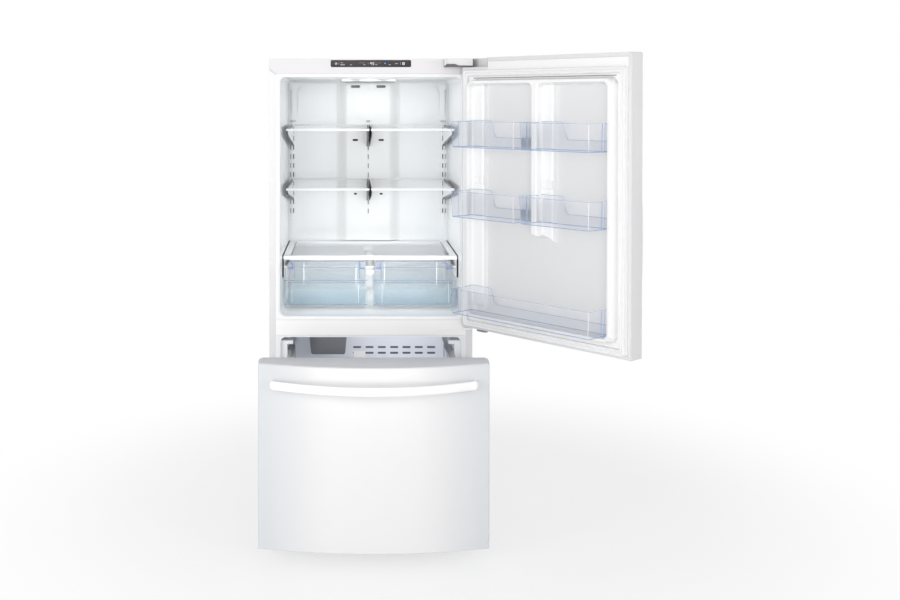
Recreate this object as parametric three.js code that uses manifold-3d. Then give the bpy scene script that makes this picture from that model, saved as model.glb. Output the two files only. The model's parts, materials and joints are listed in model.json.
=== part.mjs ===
// Bottom freezer refrigerator with a hinged upper door and a pull-out freezer drawer.
// Millimetres, +Z up. While it is built, X = 0 is the middle of the cabinet, Y = 0 its front
// face with +Y to the back, and Z = 0 the floor. The last lines move the origin to the middle
// of the footprint. The door stands open and the drawer is pulled out, as at rest.
import * as THREE from 'three';
import { mergeVertices } from 'three/addons/utils/BufferGeometryUtils.js';
import Module from 'manifold-3d';

const wasm = await Module();
wasm.setup();

// ---- Driving dimensions, with the places that follow from them ----
const GAP = 0.3; // clearance between neighbouring solids

const CASE_WIDTH = 750;
const CASE_TOP = 1643.5;
const CASE_DEPTH = 690;
const CASE_SHEET = 0.8;
const CASE_RADIUS = 4;
const CASE_FOOT = 36; // lower edge of the case above the floor
const CASE_FLANGE = 23; // width of the front return
const RETURN_DEPTH = 2;
const REAR_RETURN = 14;
const BASE_SHEET = 1.5;
const MACHINE_DEPTH = 288; // machine compartment, from the back
const MACHINE_HEIGHT = 250;
const CASE_HALF = CASE_WIDTH / 2;
const CASE_IN = CASE_HALF - CASE_SHEET - GAP;
const FACE_HALF = CASE_HALF - CASE_FLANGE - GAP;
const BACK_Y = CASE_DEPTH - CASE_SHEET - GAP;
const BASE_LOW = CASE_FOOT + 1;
const BASE_TOP = BASE_LOW + BASE_SHEET;
const MACHINE_Y = CASE_DEPTH - MACHINE_DEPTH;
const MACHINE_TOP = CASE_FOOT + MACHINE_HEIGHT;

const HEADER_HEIGHT = 56; // between the mitres
const HEADER_LOW = CASE_TOP - HEADER_HEIGHT;
const HEADER_MITRE = 17;
const HEADER_DEPTH = 18;
const HEADER_WALL = 3;
const CONTROL_WIDTH = 296;
const CONTROL_HEIGHT = 25.8;
const CONTROL_THICK = 2.2;
const CONTROL_FROM_TOP = 4.6;
const CONTROL_RADIUS = 5;
const CONTROL_TOP = CASE_TOP - CONTROL_FROM_TOP;

// Mullion between the compartments, which the door and the drawer meet.
const MULLION_LOW = 623.5;
const MULLION_HEIGHT = 56;
const MULLION_RETURN = 16;
const MULLION_TOP = MULLION_LOW + MULLION_HEIGHT;

// Liners, with the foam behind them.
const LINER_WALL = 2;
const LINER_RADIUS = 20;
const SIDE_FOAM = 41; // clear inside to the outside of the case
const FRIDGE_REAR_FOAM = 70;
const FREEZER_REAR_FOAM = 78;
const FOAM_OVER_MACHINE = 30; // between the machine compartment and the freezer liner
const LINER_HALF = CASE_HALF - SIDE_FOAM;
const FRIDGE_CEILING = HEADER_LOW - 11.5;
const FRIDGE_FLOOR = MULLION_TOP + 14.5;
const FRIDGE_DEPTH = CASE_DEPTH - FRIDGE_REAR_FOAM;
const FREEZER_CEILING = MULLION_LOW - 7.5;
const FREEZER_FLOOR = 84;
const FREEZER_DEPTH = CASE_DEPTH - FREEZER_REAR_FOAM;
const FREEZER_LIP = 18; // liner flange below the freezer's floor
const STEP_Y = MACHINE_Y - FOAM_OVER_MACHINE;
const STEP_Z = MACHINE_TOP + FOAM_OVER_MACHINE;

// Crispers and the cover over them, from the fridge's floor.
const CRISPER_COVER_TOP = FRIDGE_FLOOR + 205.6;
const CRISPER_COVER_THICK = 13.6;
const CRISPER_COVER_LOW = CRISPER_COVER_TOP - CRISPER_COVER_THICK;
const CRISPER_COVER_HALF = LINER_HALF - 4;
const CRISPER_COVER_FRONT = 122;
const CRISPER_COVER_BACK = FRIDGE_DEPTH - 12;
const CRISPER_LOW = FRIDGE_FLOOR + 19;
const CRISPER_FRONT = CRISPER_COVER_FRONT + 2;
const CRISPER_BACK = FRIDGE_DEPTH - 64;
const CRISPER_WALL = 2.5;
const CRISPER_RADIUS = 10;
const CRISPER_RIM_Z = FRIDGE_FLOOR + 166;
const CRISPER_RIM = 3;
const CRISPER_PLAY = 0.6; // beside each rim
const LEDGE_WIDTH = 14;
const LEDGE_THICK = 4;
const POST_HALF = 12;
const POST_WEB = 4;
const POST_BLOCK = 15; // height of the two blocks on the front of the post
const SKIRT_WALL = 3;
const SKIRT_DROP = 70;

const DUCT_HALF = 130;
const DUCT_FACE_HALF = 80;
const DUCT_RAISE = 23;
const DUCT_WALL = 2.5;
const DUCT_LOW = CRISPER_COVER_TOP + 3.4;
const DUCT_TOP = FRIDGE_CEILING - 8;
const DUCT_Y = FRIDGE_DEPTH - DUCT_RAISE;
// Each pair: distance from the middle, drop below the ceiling, width, height.
const DUCT_VENTS = [[53.5, 27, 41, 12.6], [54, 251.5, 23, 8.4], [54, 477.7, 13, 7.5]];
const DUCT_VENT_RADIUS = 6;

const LADDER_WIDTH = 14;
const LADDER_THICK = 2.8;
const LADDER_X = LINER_HALF - 19.4;
const LADDER_LOW = DUCT_LOW + 87;
const LADDER_TOP = FRIDGE_CEILING - 173.5;
const LADDER_Y = FRIDGE_DEPTH - GAP - LADDER_THICK;
const SLOT_PITCH = 38.1;
const SLOT_FIRST = 34; // top slot's middle below the ladder's upper end
const SLOT_HEIGHT = 20;
const SLOT_WIDTH = 4;
const SLOT_COUNT = 1 + Math.floor(
  (LADDER_TOP - SLOT_FIRST - SLOT_HEIGHT / 2 - LADDER_LOW) / SLOT_PITCH);

const SHELF_DROPS = [['upper', 186.3], ['lower', 413]]; // below the ceiling
const SHELF_FRONT = 126;
const SHELF_BACK = FRIDGE_DEPTH - 28;
const SHELF_THICK = 16;
const SHELF_SPLIT = 3; // half the gap between the left and right shelves
const SHELF_HALF = LINER_HALF - 14;
const SHELF_RIM = 8;
const SHELF_FRONT_RIM = 14;
const SHELF_LEDGE = 4;
const GLASS_THICK = 4;
const BRACKET_THICK = 3;
const BRACKET_DROP = 76;
const BRACKET_FRONT = SHELF_FRONT + 20;

const LAMP_HALF = 110;
const LAMP_FRONT = FRIDGE_DEPTH - 150;
const LAMP_DEPTH = 75;
const LAMP_THICK = 6;
const LAMP_RADIUS = 20;

// Freezer fittings, from its ceiling.
const ICE_LEFT = 100 - LINER_HALF;
const ICE_WIDTH = 147;
const ICE_RIGHT = ICE_LEFT + ICE_WIDTH;
const ICE_FRONT = 150;
const ICE_DEPTH = 270;
const ICE_LOW = FREEZER_CEILING - 97;
const ICE_DRAFT = 8;
const ICE_WALL = 5;
const EVAPORATOR_SPACE = 67; // behind the cover's front
const EVAPORATOR_COVER_Y = FREEZER_DEPTH - EVAPORATOR_SPACE;
const EVAPORATOR_COVER_THICK = 3;
const EVAPORATOR_COVER_BACK = EVAPORATOR_COVER_Y + EVAPORATOR_COVER_THICK;
const EVAPORATOR_HALF = LINER_HALF - 44;
const EVAPORATOR_CLEAR = 10; // behind the cover
const EVAPORATOR_TOP = FREEZER_CEILING - 116;
const EVAPORATOR_FINS = 18;
const FIN_FOOT = 12; // solid tube block under the fins
const VENT_COLUMNS = 7;
const VENT_PITCH = 51.4;
const VENT_FIRST_X = -47;
const VENT_ROWS = [FREEZER_CEILING - 153, FREEZER_CEILING - 177];
const VENT_WIDTH = 33;
const VENT_HEIGHT = 7;

const RAIL_Z = FREEZER_CEILING - 71; // middle height of the drawer slides
const RAIL_HEIGHT = 38;
const RAIL_WIDTH = 13;
const RAIL_OUT = LINER_HALF - 25; // outer face of the fixed slide member
const RAIL_SHEET = 1.5;
const RAIL_FRONT = 12;
const RAIL_BACK = EVAPORATOR_COVER_Y - 33;
const RAIL_PLAY = 0.5;
const RAIL_LOW = RAIL_Z - RAIL_HEIGHT / 2;
const RAIL_TOP = RAIL_Z + RAIL_HEIGHT / 2;
const RAIL_IN = RAIL_OUT - RAIL_WIDTH;

const DOOR_GAP = 12; // between the closed door and the cabinet face
const DOOR_EDGE = 57; // thickness of door and drawer front at their edges
const DOOR_BOW = 47; // how far the middle of the front stands forward of its edges
const DOOR_HALF = CASE_HALF - 1;
const DOOR_LOW = MULLION_TOP - 15.3;
const DOOR_TOP = CASE_TOP + 0.7;
const DOOR_SHEET = 1;
const DOOR_RETURN = 14;
const DOOR_CORNER = -DOOR_GAP - DOOR_EDGE;
const FORM_FRONT = DOOR_CORNER + 9; // how far forward the inner panel's raised forms start

const DOOR_OPEN = 129.9; // degrees
const HINGE_X = CASE_HALF - 15;
const HINGE_Y = -36;
const PIN_RADIUS = 6;
const PIN_LENGTH = 21;
const HINGE_REACH = 10; // plate ahead of the pins' axis
const ARM_LENGTH = 105;
const ARM_THICK = 4;
const ARM_Z = CASE_TOP - 30.5;
const ARM_FLANGE = 27; // height of the flange on the cabinet
const ARM_BLOCK_WIDTH = 14;
const ARM_BLOCK_HEIGHT = 15;
const FLANGE_THICK = 3;
const COVER_WALL = 3;
const MID_PLATE_LOW = DOOR_LOW - 8.2;
const MID_PLATE_THICK = 4;
const MID_FLANGE_WIDTH = 128;
const MID_FLANGE_HEIGHT = 24.5;
const NOTCH_WIDTH = 123;
const NOTCH_HEIGHT = 34;
const NOTCH_FRONT = DOOR_CORNER + 5;
const NOTCH_WALL = 1.5;
const STOP_X = [HINGE_X - 81, HINGE_X - 38]; // stop under the door
const STOP_Y = [HINGE_Y - 14, HINGE_Y + 1];
const STOP_DROP = 13;

const GASKET_OUT = CASE_HALF - 16;
const GASKET_WIDTH = 22;
const GASKET_AIR = 0.5;
const GASKET_LOW = DOOR_LOW + 10;
const GASKET_TOP = DOOR_TOP - 45;
const DIKE_OUT = GASKET_OUT - 37;
const DIKE_WIDTH = 18;
const DIKE_RISE = 37;
const DIKE_RADIUS = 30;
const FIELD_RADIUS = 8;
const FIELD_SINK = 8;
const PILASTER_RISE = 15;
const PILASTER_WIDTH = 59;
const RIB_HALF = 12;
const RIB_LOW = DOOR_TOP - 633.2;
const FIELD_TOP = GASKET_TOP + 5 - (GASKET_OUT - DIKE_OUT) - DIKE_WIDTH;

const BIN_REACH = 122; // front of the bins from the door's inner plane
const BIN_WALL = 2.2;
const BIN_RADIUS = 14;
const BIN_ROWS = [['upper', DOOR_TOP - 319.2], ['middle', DOOR_TOP - 566.2]];
const BIN_HEIGHT = 91.5;
const BIN_BOTTOM_LOW = DOOR_LOW + 71.8;
const BIN_BOTTOM_HEIGHT = 87.5;
const BIN_OUT = DIKE_OUT - DIKE_WIDTH - 0.5;
const BIN_IN = RIB_HALF + 0.5;
const BIN_BACK = -DOOR_GAP + PILASTER_RISE + GAP;
const BIN_FRONT = -DOOR_GAP + BIN_REACH;

const DRAWER_PULL = 462;
const DRAWER_HALF = CASE_HALF;
const DRAWER_LOW = CASE_FOOT;
const DRAWER_TOP = MULLION_LOW + 22.5;
const DRAWER_TOP_FALL = 0.105; // slope of the drawer's top face
const DRAWER_DIKE_RISE = 15;
const DRAWER_GASKET = [FREEZER_FLOOR - 24, DRAWER_TOP - 6];
const DRAWER_PAD = [90, 80]; // raised pad inside the gasket, from its lower and upper edges
const PAD_INSET = 40;
const FRAME_LEDGE_Z = RAIL_Z - 43;
const FRAME_SHEET = 2;
const FRAME_PLATE = 40; // height of the cross plate behind the drawer front
const BASKET_HALF = RAIL_OUT - 50;
const BASKET_LOW = FREEZER_FLOOR + 32;
const BASKET_TOP = FRAME_LEDGE_Z + 3.3;
const BASKET_WALL = 2.5;
const BASKET_RADIUS = 18;
const BASKET_BACK = STEP_Y - 8;
const BASKET_TAB = [-64, -22];
const BASKET_TAB_TOP = FREEZER_CEILING - 30;
const BASKET_TAB_LAP = 30;

const HANDLE_HALF = CASE_HALF - 38;
const HANDLE_HEIGHT = 30;
const HANDLE_THICK = 17;
const HANDLE_STAND = 75; // front of the bar's middle from the middle of the face
const HANDLE_END = 22; // front of the bar's ends from the face there
const HANDLE_POST = 20;
const DRAWER_HANDLE_Z = DRAWER_TOP - 72;
const DOOR_HANDLE_X = 66 - DOOR_HALF;
const DOOR_HANDLE_Z = (DOOR_LOW + DOOR_TOP) / 2 - 117.2;
const DOOR_HANDLE_STAND = 64;

const LEG_X = CASE_HALF - 45;
const LEG_Y = 60;
const LEG_RADIUS = 20;
const LEG_PAD = 10;
const LEG_SCREW = 6;
const LEG_POCKET = 20; // depth of the hole in the foam over the screw
const ROLLER_X = CASE_HALF - 65;
const ROLLER_Y = CASE_DEPTH - 50;
const ROLLER_RADIUS = 18;
const ROLLER_WIDTH = 22;
const AXLE_RADIUS = 4;
const EAR_THICK = 3;
const EAR_HALF = 12;

const FAN_HUB = 16;
const FAN_SHAFT = 3;
const FAN_BLADES = 5;
const BLADE_THICK = 2.5;
const BLADE_TWIST = 0.6; // radians
const EVAPORATOR_FAN_X = -150;
const EVAPORATOR_FAN_Y = EVAPORATOR_COVER_BACK + 24;
const EVAPORATOR_FAN_Z = FREEZER_CEILING - 56;
const EVAPORATOR_FAN_RADIUS = 45;
const EVAPORATOR_FAN_WIDTH = 22;
const CONDENSER_FAN_Y = CASE_DEPTH - 100;
const CONDENSER_FAN_Z = BASE_TOP + 91.5;
const CONDENSER_FAN_RADIUS = 65;
const CONDENSER_FAN_WIDTH = 24;
const FAN_POST_X = -20;
const FAN_POST_THICK = 6;
const FAN_STAND = 24; // condenser fan's middle from its post

const COMPRESSOR_AT = [-190, MACHINE_Y + 143];
const COMPRESSOR_RADIUS = 62;
const COMPRESSOR_HEIGHT = 126;
const COMPRESSOR_FEET = [70, 35]; // rubber feet from the middle, x and y
const COMPRESSOR_FOOT = 14;
const FOOT_RADIUS = 9;
const CONDENSER_X = [50, CASE_HALF - 45];
const CONDENSER_Y = [CASE_DEPTH - 120, CASE_DEPTH - 60];
const CONDENSER_TOP = MACHINE_TOP - 76;
const CONDENSER_FINS = 14;
const PAN_X = [50, CASE_HALF - 35];
const PAN_Y = [MACHINE_Y + 28, CASE_DEPTH - 145];
const PAN_HEIGHT = 30;
const PAN_WALL = 2;
const REAR_COVER_SHEET = 1.2;
const GRILLE_COLUMNS = 8;
const GRILLE_ROWS = 3;
const GRILLE_PITCH = (CASE_WIDTH - 30) / GRILLE_COLUMNS;
const GRILLE_BAR = 26; // between two slots of a row
const GRILLE_LOW = BASE_TOP + 51.5;
const GRILLE_RISE = 60;
const GRILLE_SLOT = 10;

// ---- Materials ----
const finish = (color, roughness, metalness = 0) =>
  new THREE.MeshStandardMaterial({ color, roughness, metalness });
const glassy = (color, opacity) =>
  new THREE.MeshStandardMaterial({ color, roughness: 0.1, transparent: true, opacity });
const whitePaint = finish(0xf1f1f2, 0.25);
const whitePlastic = finish(0xeeeff0, 0.4);
const greyPlastic = finish(0x77797d, 0.5);
const panelBlack = finish(0x554f52, 0.3);
const sheetSteel = finish(0xb4b6b8, 0.45, 0.8);
const darkSteel = finish(0x4c4d50, 0.45, 0.7);
const aluminium = finish(0xc3c6c9, 0.4, 0.9);
const blackPaint = finish(0x1d1e20, 0.5);
const foamYellow = finish(0xe6dca8, 0.9);
const rubberWhite = finish(0xe4e5e6, 0.7);
const rubberGrey = finish(0x3d3e40, 0.8);
const clearGlass = glassy(0xdfeceb, 0.35);
const clearBlue = glassy(0xcfe0f2, 0.4);
const lampLens = glassy(0xfafcff, 0.7);

// ---- Solids ----
function solid(geometry) {
  geometry.deleteAttribute('normal');
  geometry.deleteAttribute('uv');
  const welded = mergeVertices(geometry, 1e-4);
  return new wasm.Manifold(new wasm.Mesh({
    numProp: 3,
    vertProperties: Float32Array.from(welded.attributes.position.array),
    triVerts: Uint32Array.from(welded.index.array),
  }));
}

function box(x0, x1, y0, y1, z0, z1) {
  const geometry = new THREE.BoxGeometry(x1 - x0, y1 - y0, z1 - z0);
  return solid(geometry.translate((x0 + x1) / 2, (y0 + y1) / 2, (z0 + z1) / 2));
}

// The same box and its mirror image across X = 0.
function boxPair(x0, x1, y0, y1, z0, z1) {
  return box(x0, x1, y0, y1, z0, z1).add(box(-x1, -x0, y0, y1, z0, z1));
}

function polygon(points) {
  return new THREE.Shape(points.map(([a, b]) => new THREE.Vector2(a, b)));
}

// Rectangle with rounded corners.
function roundRect(a0, a1, b0, b1, r) {
  const shape = new THREE.Shape();
  shape.moveTo(a0 + r, b0);
  shape.lineTo(a1 - r, b0);
  shape.absarc(a1 - r, b0 + r, r, -Math.PI / 2, 0);
  shape.lineTo(a1, b1 - r);
  shape.absarc(a1 - r, b1 - r, r, 0, Math.PI / 2);
  shape.lineTo(a0 + r, b1);
  shape.absarc(a0 + r, b1 - r, r, Math.PI / 2, Math.PI);
  shape.lineTo(a0, b0 + r);
  shape.absarc(a0 + r, b0 + r, r, Math.PI, Math.PI * 1.5);
  return shape;
}

function extrude(shape, length, curveSegments) {
  return new THREE.ExtrudeGeometry(shape, { depth: length, bevelEnabled: false, curveSegments });
}

// Outline in X and Y, carried up from z0 to z1.
function alongZ(shape, z0, z1, segments = 5) {
  return solid(extrude(shape, z1 - z0, segments).translate(0, 0, z0));
}

// Outline in X and Z, carried back from y0 to y1.
function alongY(shape, y0, y1, segments = 5) {
  return solid(extrude(shape, y1 - y0, segments).translate(0, 0, -y1).rotateX(Math.PI / 2));
}

// Outline in Y and Z, carried across from x0 to x1.
function alongX(shape, x0, x1, segments = 5) {
  const turn = new THREE.Matrix4().makeBasis(
    new THREE.Vector3(0, 1, 0), new THREE.Vector3(0, 0, 1), new THREE.Vector3(1, 0, 0));
  return solid(extrude(shape, x1 - x0, segments).applyMatrix4(turn).translate(x0, 0, 0));
}

// Round bar from one point along an axis of the frame.
function bar(axis, [x, y, z], radius, length, segments = 20) {
  const geometry = new THREE.CylinderGeometry(radius, radius, length, segments);
  geometry.translate(0, length / 2, 0);
  if (axis === 'x') geometry.rotateZ(-Math.PI / 2);
  if (axis === 'z') geometry.rotateX(Math.PI / 2);
  return solid(geometry.translate(x, y, z));
}

const refrigerator = new THREE.Group();

function piece(name, body, material, group) {
  const { numProp, vertProperties, triVerts } = body.getMesh();
  const positions = new Float32Array((vertProperties.length / numProp) * 3);
  for (let i = 0; i < positions.length / 3; i += 1) {
    for (let k = 0; k < 3; k += 1) positions[i * 3 + k] = vertProperties[i * numProp + k];
  }
  const geometry = new THREE.BufferGeometry();
  geometry.setAttribute('position', new THREE.BufferAttribute(positions, 3));
  geometry.setIndex(new THREE.BufferAttribute(new Uint32Array(triVerts), 1));
  geometry.computeVertexNormals();
  const mesh = new THREE.Mesh(geometry, material);
  mesh.name = name;
  group.add(mesh);
  return mesh;
}

// ---- Cabinet ----
const cabinet = new THREE.Group();
refrigerator.add(cabinet);

// The space inside a compartment, grown on every side.
function fridgeSpace(grow) {
  const outline = roundRect(-LINER_HALF - grow, LINER_HALF + grow,
    FRIDGE_FLOOR - grow, FRIDGE_CEILING + grow, LINER_RADIUS + grow);
  return alongY(outline, -1, FRIDGE_DEPTH + grow);
}

function freezerSpace(grow) {
  const half = LINER_HALF + grow;
  const r = LINER_RADIUS + grow;
  const low = roundRect(-half, half, FREEZER_FLOOR - grow, FREEZER_CEILING + grow, r);
  const high = roundRect(-half, half, STEP_Z - grow, FREEZER_CEILING + grow, r);
  return alongY(low, -1, STEP_Y + grow).add(alongY(high, -1, FREEZER_DEPTH + grow));
}

// Front outline of the header, whose lower corners are mitred.
function headerBlock(grow, depth) {
  const side = CASE_HALF + grow;
  const inner = CASE_HALF - CASE_FLANGE + grow;
  const low = HEADER_LOW - grow;
  return alongY(polygon([[-inner, low], [inner, low], [side, low + HEADER_MITRE],
    [side, CASE_TOP + grow], [-side, CASE_TOP + grow], [-side, low + HEADER_MITRE]]), -grow, depth);
}

function outerCase() {
  const sheet = CASE_SHEET;
  const shell = alongY(
    roundRect(-CASE_HALF, CASE_HALF, CASE_FOOT, CASE_TOP, CASE_RADIUS), 0, CASE_DEPTH)
    .subtract(box(-CASE_HALF + sheet, CASE_HALF - sheet, sheet, CASE_DEPTH - sheet,
      0, CASE_TOP - sheet))
    .subtract(box(-CASE_HALF + CASE_FLANGE, CASE_HALF - CASE_FLANGE, -1, RETURN_DEPTH,
      0, CASE_TOP + 1))
    .subtract(box(-CASE_HALF + REAR_RETURN, CASE_HALF - REAR_RETURN,
      CASE_DEPTH - RETURN_DEPTH, CASE_DEPTH + 1, 0, CASE_TOP - REAR_RETURN));
  return shell.subtract(headerBlock(GAP, HEADER_DEPTH + GAP));
}
piece('outer_case', outerCase(), whitePaint, cabinet);

const backPanel = box(-CASE_IN, CASE_IN, BACK_Y - CASE_SHEET, BACK_Y,
  MACHINE_TOP + GAP, CASE_TOP - CASE_SHEET - GAP);
piece('back_panel', backPanel, sheetSteel, cabinet);

// Control strip outline, grown for its recess in the header.
function controlOutline(grow) {
  return roundRect(-CONTROL_WIDTH / 2 - grow, CONTROL_WIDTH / 2 + grow,
    CONTROL_TOP - CONTROL_HEIGHT - grow, CONTROL_TOP + grow, CONTROL_RADIUS + grow);
}

function headerPanel() {
  const inner = CASE_HALF - CASE_FLANGE - HEADER_WALL;
  return headerBlock(0, HEADER_DEPTH)
    .subtract(box(-inner, inner, HEADER_WALL, HEADER_DEPTH + 1,
      HEADER_LOW + HEADER_WALL, CASE_TOP - HEADER_WALL))
    .subtract(alongY(controlOutline(GAP), -1, CONTROL_THICK + GAP));
}
piece('header_panel', headerPanel(), whitePlastic, cabinet);
piece('control_panel', alongY(controlOutline(0), 0, CONTROL_THICK), panelBlack, cabinet);

function mullionCover() {
  const channel = box(-FACE_HALF, FACE_HALF, 0, MULLION_RETURN, MULLION_LOW, MULLION_TOP);
  return channel.subtract(box(-FACE_HALF - 1, FACE_HALF + 1, BASE_SHEET, MULLION_RETURN + 1,
    MULLION_LOW + BASE_SHEET, MULLION_TOP - BASE_SHEET));
}
piece('mullion_cover', mullionCover(), whitePaint, cabinet);

function fridgeLiner() {
  const flange = box(-FACE_HALF, FACE_HALF, 0, LINER_WALL, MULLION_TOP + GAP, HEADER_LOW - GAP);
  const shell = fridgeSpace(LINER_WALL).subtract(box(-CASE_HALF, CASE_HALF, -10, 0, 0, CASE_TOP));
  return flange.add(shell).subtract(fridgeSpace(0));
}
piece('fridge_liner', fridgeLiner(), whitePlastic, cabinet);

// Brackets moulded on the freezer's side walls, which carry the fixed slide members.
const BRACKET_LENGTH = 50;
const RAIL_BRACKETS = [RAIL_FRONT, RAIL_BACK - BRACKET_LENGTH - 30];
const GUIDE_TOP = RAIL_TOP + 37;
const GUIDE_TAB = 13;
const GUIDE_REACH = 21;
const GUIDE_FOOT = RAIL_LOW - 6;

function freezerLiner() {
  const front = box(-FACE_HALF, FACE_HALF, 0, LINER_WALL,
    FREEZER_FLOOR - FREEZER_LIP, MULLION_LOW - GAP);
  const shell = freezerSpace(LINER_WALL).subtract(box(-CASE_HALF, CASE_HALF, -10, 0, 0, CASE_TOP));
  let liner = front.add(shell).subtract(freezerSpace(0));
  for (const y of RAIL_BRACKETS) {
    liner = liner.add(boxPair(RAIL_OUT + GAP, LINER_HALF + 1, y, y + BRACKET_LENGTH,
      GUIDE_FOOT, GUIDE_TOP));
  }
  return liner.add(boxPair(RAIL_OUT - GUIDE_REACH, LINER_HALF + 1,
    RAIL_BRACKETS[0], RAIL_BRACKETS[0] + BRACKET_LENGTH, GUIDE_TOP - GUIDE_TAB, GUIDE_TOP));
}
piece('freezer_liner', freezerLiner(), whitePlastic, cabinet);

// Folded sheets under the cabinet: floor plate, partition and roof of the machine compartment,
// front lip, roller brackets and the post of the condenser fan.
const PAN_BACK = CASE_DEPTH - 4;
const PAN_LIP = 2; // front lip from the case's front
const ROLLER_EARS = [ROLLER_X - ROLLER_WIDTH / 2 - 5, ROLLER_X + ROLLER_WIDTH / 2 + 2];
function basePan() {
  const low = BASE_LOW;
  const back = PAN_BACK;
  let pan = box(-CASE_IN, CASE_IN, CASE_SHEET + GAP, back, low, BASE_TOP)
    .add(box(-CASE_IN, CASE_IN, PAN_LIP, PAN_LIP + BASE_SHEET,
      low, FREEZER_FLOOR - FREEZER_LIP - 2))
    .add(box(-CASE_IN, CASE_IN, MACHINE_Y, MACHINE_Y + BASE_SHEET, low, MACHINE_TOP))
    .add(box(-CASE_IN, CASE_IN, MACHINE_Y, back, MACHINE_TOP - BASE_SHEET, MACHINE_TOP));
  for (const x of ROLLER_EARS) {
    pan = pan.add(boxPair(x, x + EAR_THICK, ROLLER_Y - EAR_HALF, ROLLER_Y + EAR_HALF,
      ROLLER_RADIUS - 10, BASE_TOP));
  }
  const [y, z] = [CONDENSER_FAN_Y, CONDENSER_FAN_Z];
  const shaft = FAN_STAND + CONDENSER_FAN_WIDTH / 2 + 8;
  pan = pan.add(box(FAN_POST_X, FAN_POST_X + FAN_POST_THICK, y - 10, y + 10, low, z + 10))
    .add(bar('x', [FAN_POST_X - shaft, y, z], FAN_SHAFT, shaft + 1, 12));
  for (const side of [-1, 1]) {
    pan = pan.subtract(bar('z', [side * LEG_X, LEG_Y, low - 5], LEG_SCREW + GAP, 20));
  }
  const axleHole = AXLE_RADIUS + GAP;
  return pan.subtract(bar('x', [-CASE_HALF, ROLLER_Y, ROLLER_RADIUS], axleHole, CASE_WIDTH));
}
piece('base_pan', basePan(), sheetSteel, cabinet);

function cabinetFoam() {
  const grow = LINER_WALL + GAP;
  let foam = box(-CASE_IN, CASE_IN, PAN_LIP + BASE_SHEET + GAP, BACK_Y - CASE_SHEET - GAP,
    BASE_TOP + GAP, CASE_TOP - CASE_SHEET - GAP);
  foam = foam.subtract(fridgeSpace(grow)).subtract(freezerSpace(grow))
    .subtract(headerBlock(GAP, HEADER_DEPTH + GAP))
    .subtract(box(-FACE_HALF - 1, FACE_HALF + 1, 0, MULLION_RETURN + GAP,
      MULLION_LOW - GAP, MULLION_TOP + GAP))
    .subtract(box(-CASE_HALF, CASE_HALF, MACHINE_Y - GAP, CASE_DEPTH, 0, MACHINE_TOP + GAP));
  for (const side of [-1, 1]) {
    foam = foam.subtract(bar('z', [side * LEG_X, LEG_Y, CASE_FOOT], LEG_SCREW + 2, LEG_POCKET));
  }
  return foam;
}
piece('cabinet_foam', cabinetFoam(), foamYellow, cabinet);

// ---- Inside the fridge ----
function slotTools(x, y0, y1) {
  let slots = null;
  for (let i = 0; i < SLOT_COUNT; i += 1) {
    const top = LADDER_TOP - SLOT_FIRST - i * SLOT_PITCH + SLOT_HEIGHT / 2;
    const slot = box(x - SLOT_WIDTH / 2, x + SLOT_WIDTH / 2, y0, y1, top - SLOT_HEIGHT, top);
    slots = slots ? slots.add(slot) : slot;
  }
  return slots;
}

function ductCover() {
  const y1 = FRIDGE_DEPTH - GAP;
  const outline = polygon([[-DUCT_HALF, y1], [-DUCT_FACE_HALF, DUCT_Y],
    [DUCT_FACE_HALF, DUCT_Y], [DUCT_HALF, y1]]);
  const inside = polygon([[-DUCT_HALF + 9, y1 + 1], [-DUCT_FACE_HALF + 1, DUCT_Y + DUCT_WALL],
    [DUCT_FACE_HALF - 1, DUCT_Y + DUCT_WALL], [DUCT_HALF - 9, y1 + 1]]);
  const w = LADDER_WIDTH / 2;
  let cover = alongZ(outline, DUCT_LOW, DUCT_TOP)
    .subtract(alongZ(inside, DUCT_LOW - 1, DUCT_TOP - DUCT_WALL))
    .add(box(-w, w, DUCT_Y - LADDER_THICK, DUCT_Y + 1, LADDER_LOW, LADDER_TOP));
  for (const [x, drop, width, height] of DUCT_VENTS) {
    const z = FRIDGE_CEILING - drop;
    const r = Math.min(DUCT_VENT_RADIUS, height / 2 - 0.2);
    for (const side of [-1, 1]) {
      const c = side * x;
      const outlineOfVent = roundRect(c - width / 2, c + width / 2,
        z - height / 2, z + height / 2, r);
      cover = cover.subtract(alongY(outlineOfVent, DUCT_Y - 2, DUCT_Y + DUCT_WALL + 2, 3));
    }
  }
  return cover.subtract(slotTools(0, DUCT_Y - 6, DUCT_Y + DUCT_WALL + 2));
}
piece('duct_cover', ductCover(), whitePlastic, cabinet);

for (const [name, side] of [['left', -1], ['right', 1]]) {
  const x = side * LADDER_X;
  const strip = box(x - LADDER_WIDTH / 2, x + LADDER_WIDTH / 2, LADDER_Y, FRIDGE_DEPTH - GAP,
    LADDER_LOW, LADDER_TOP).subtract(slotTools(x, LADDER_Y - 1, FRIDGE_DEPTH + 1));
  piece(`ladder_${name}`, strip, whitePaint, cabinet);
}

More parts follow.
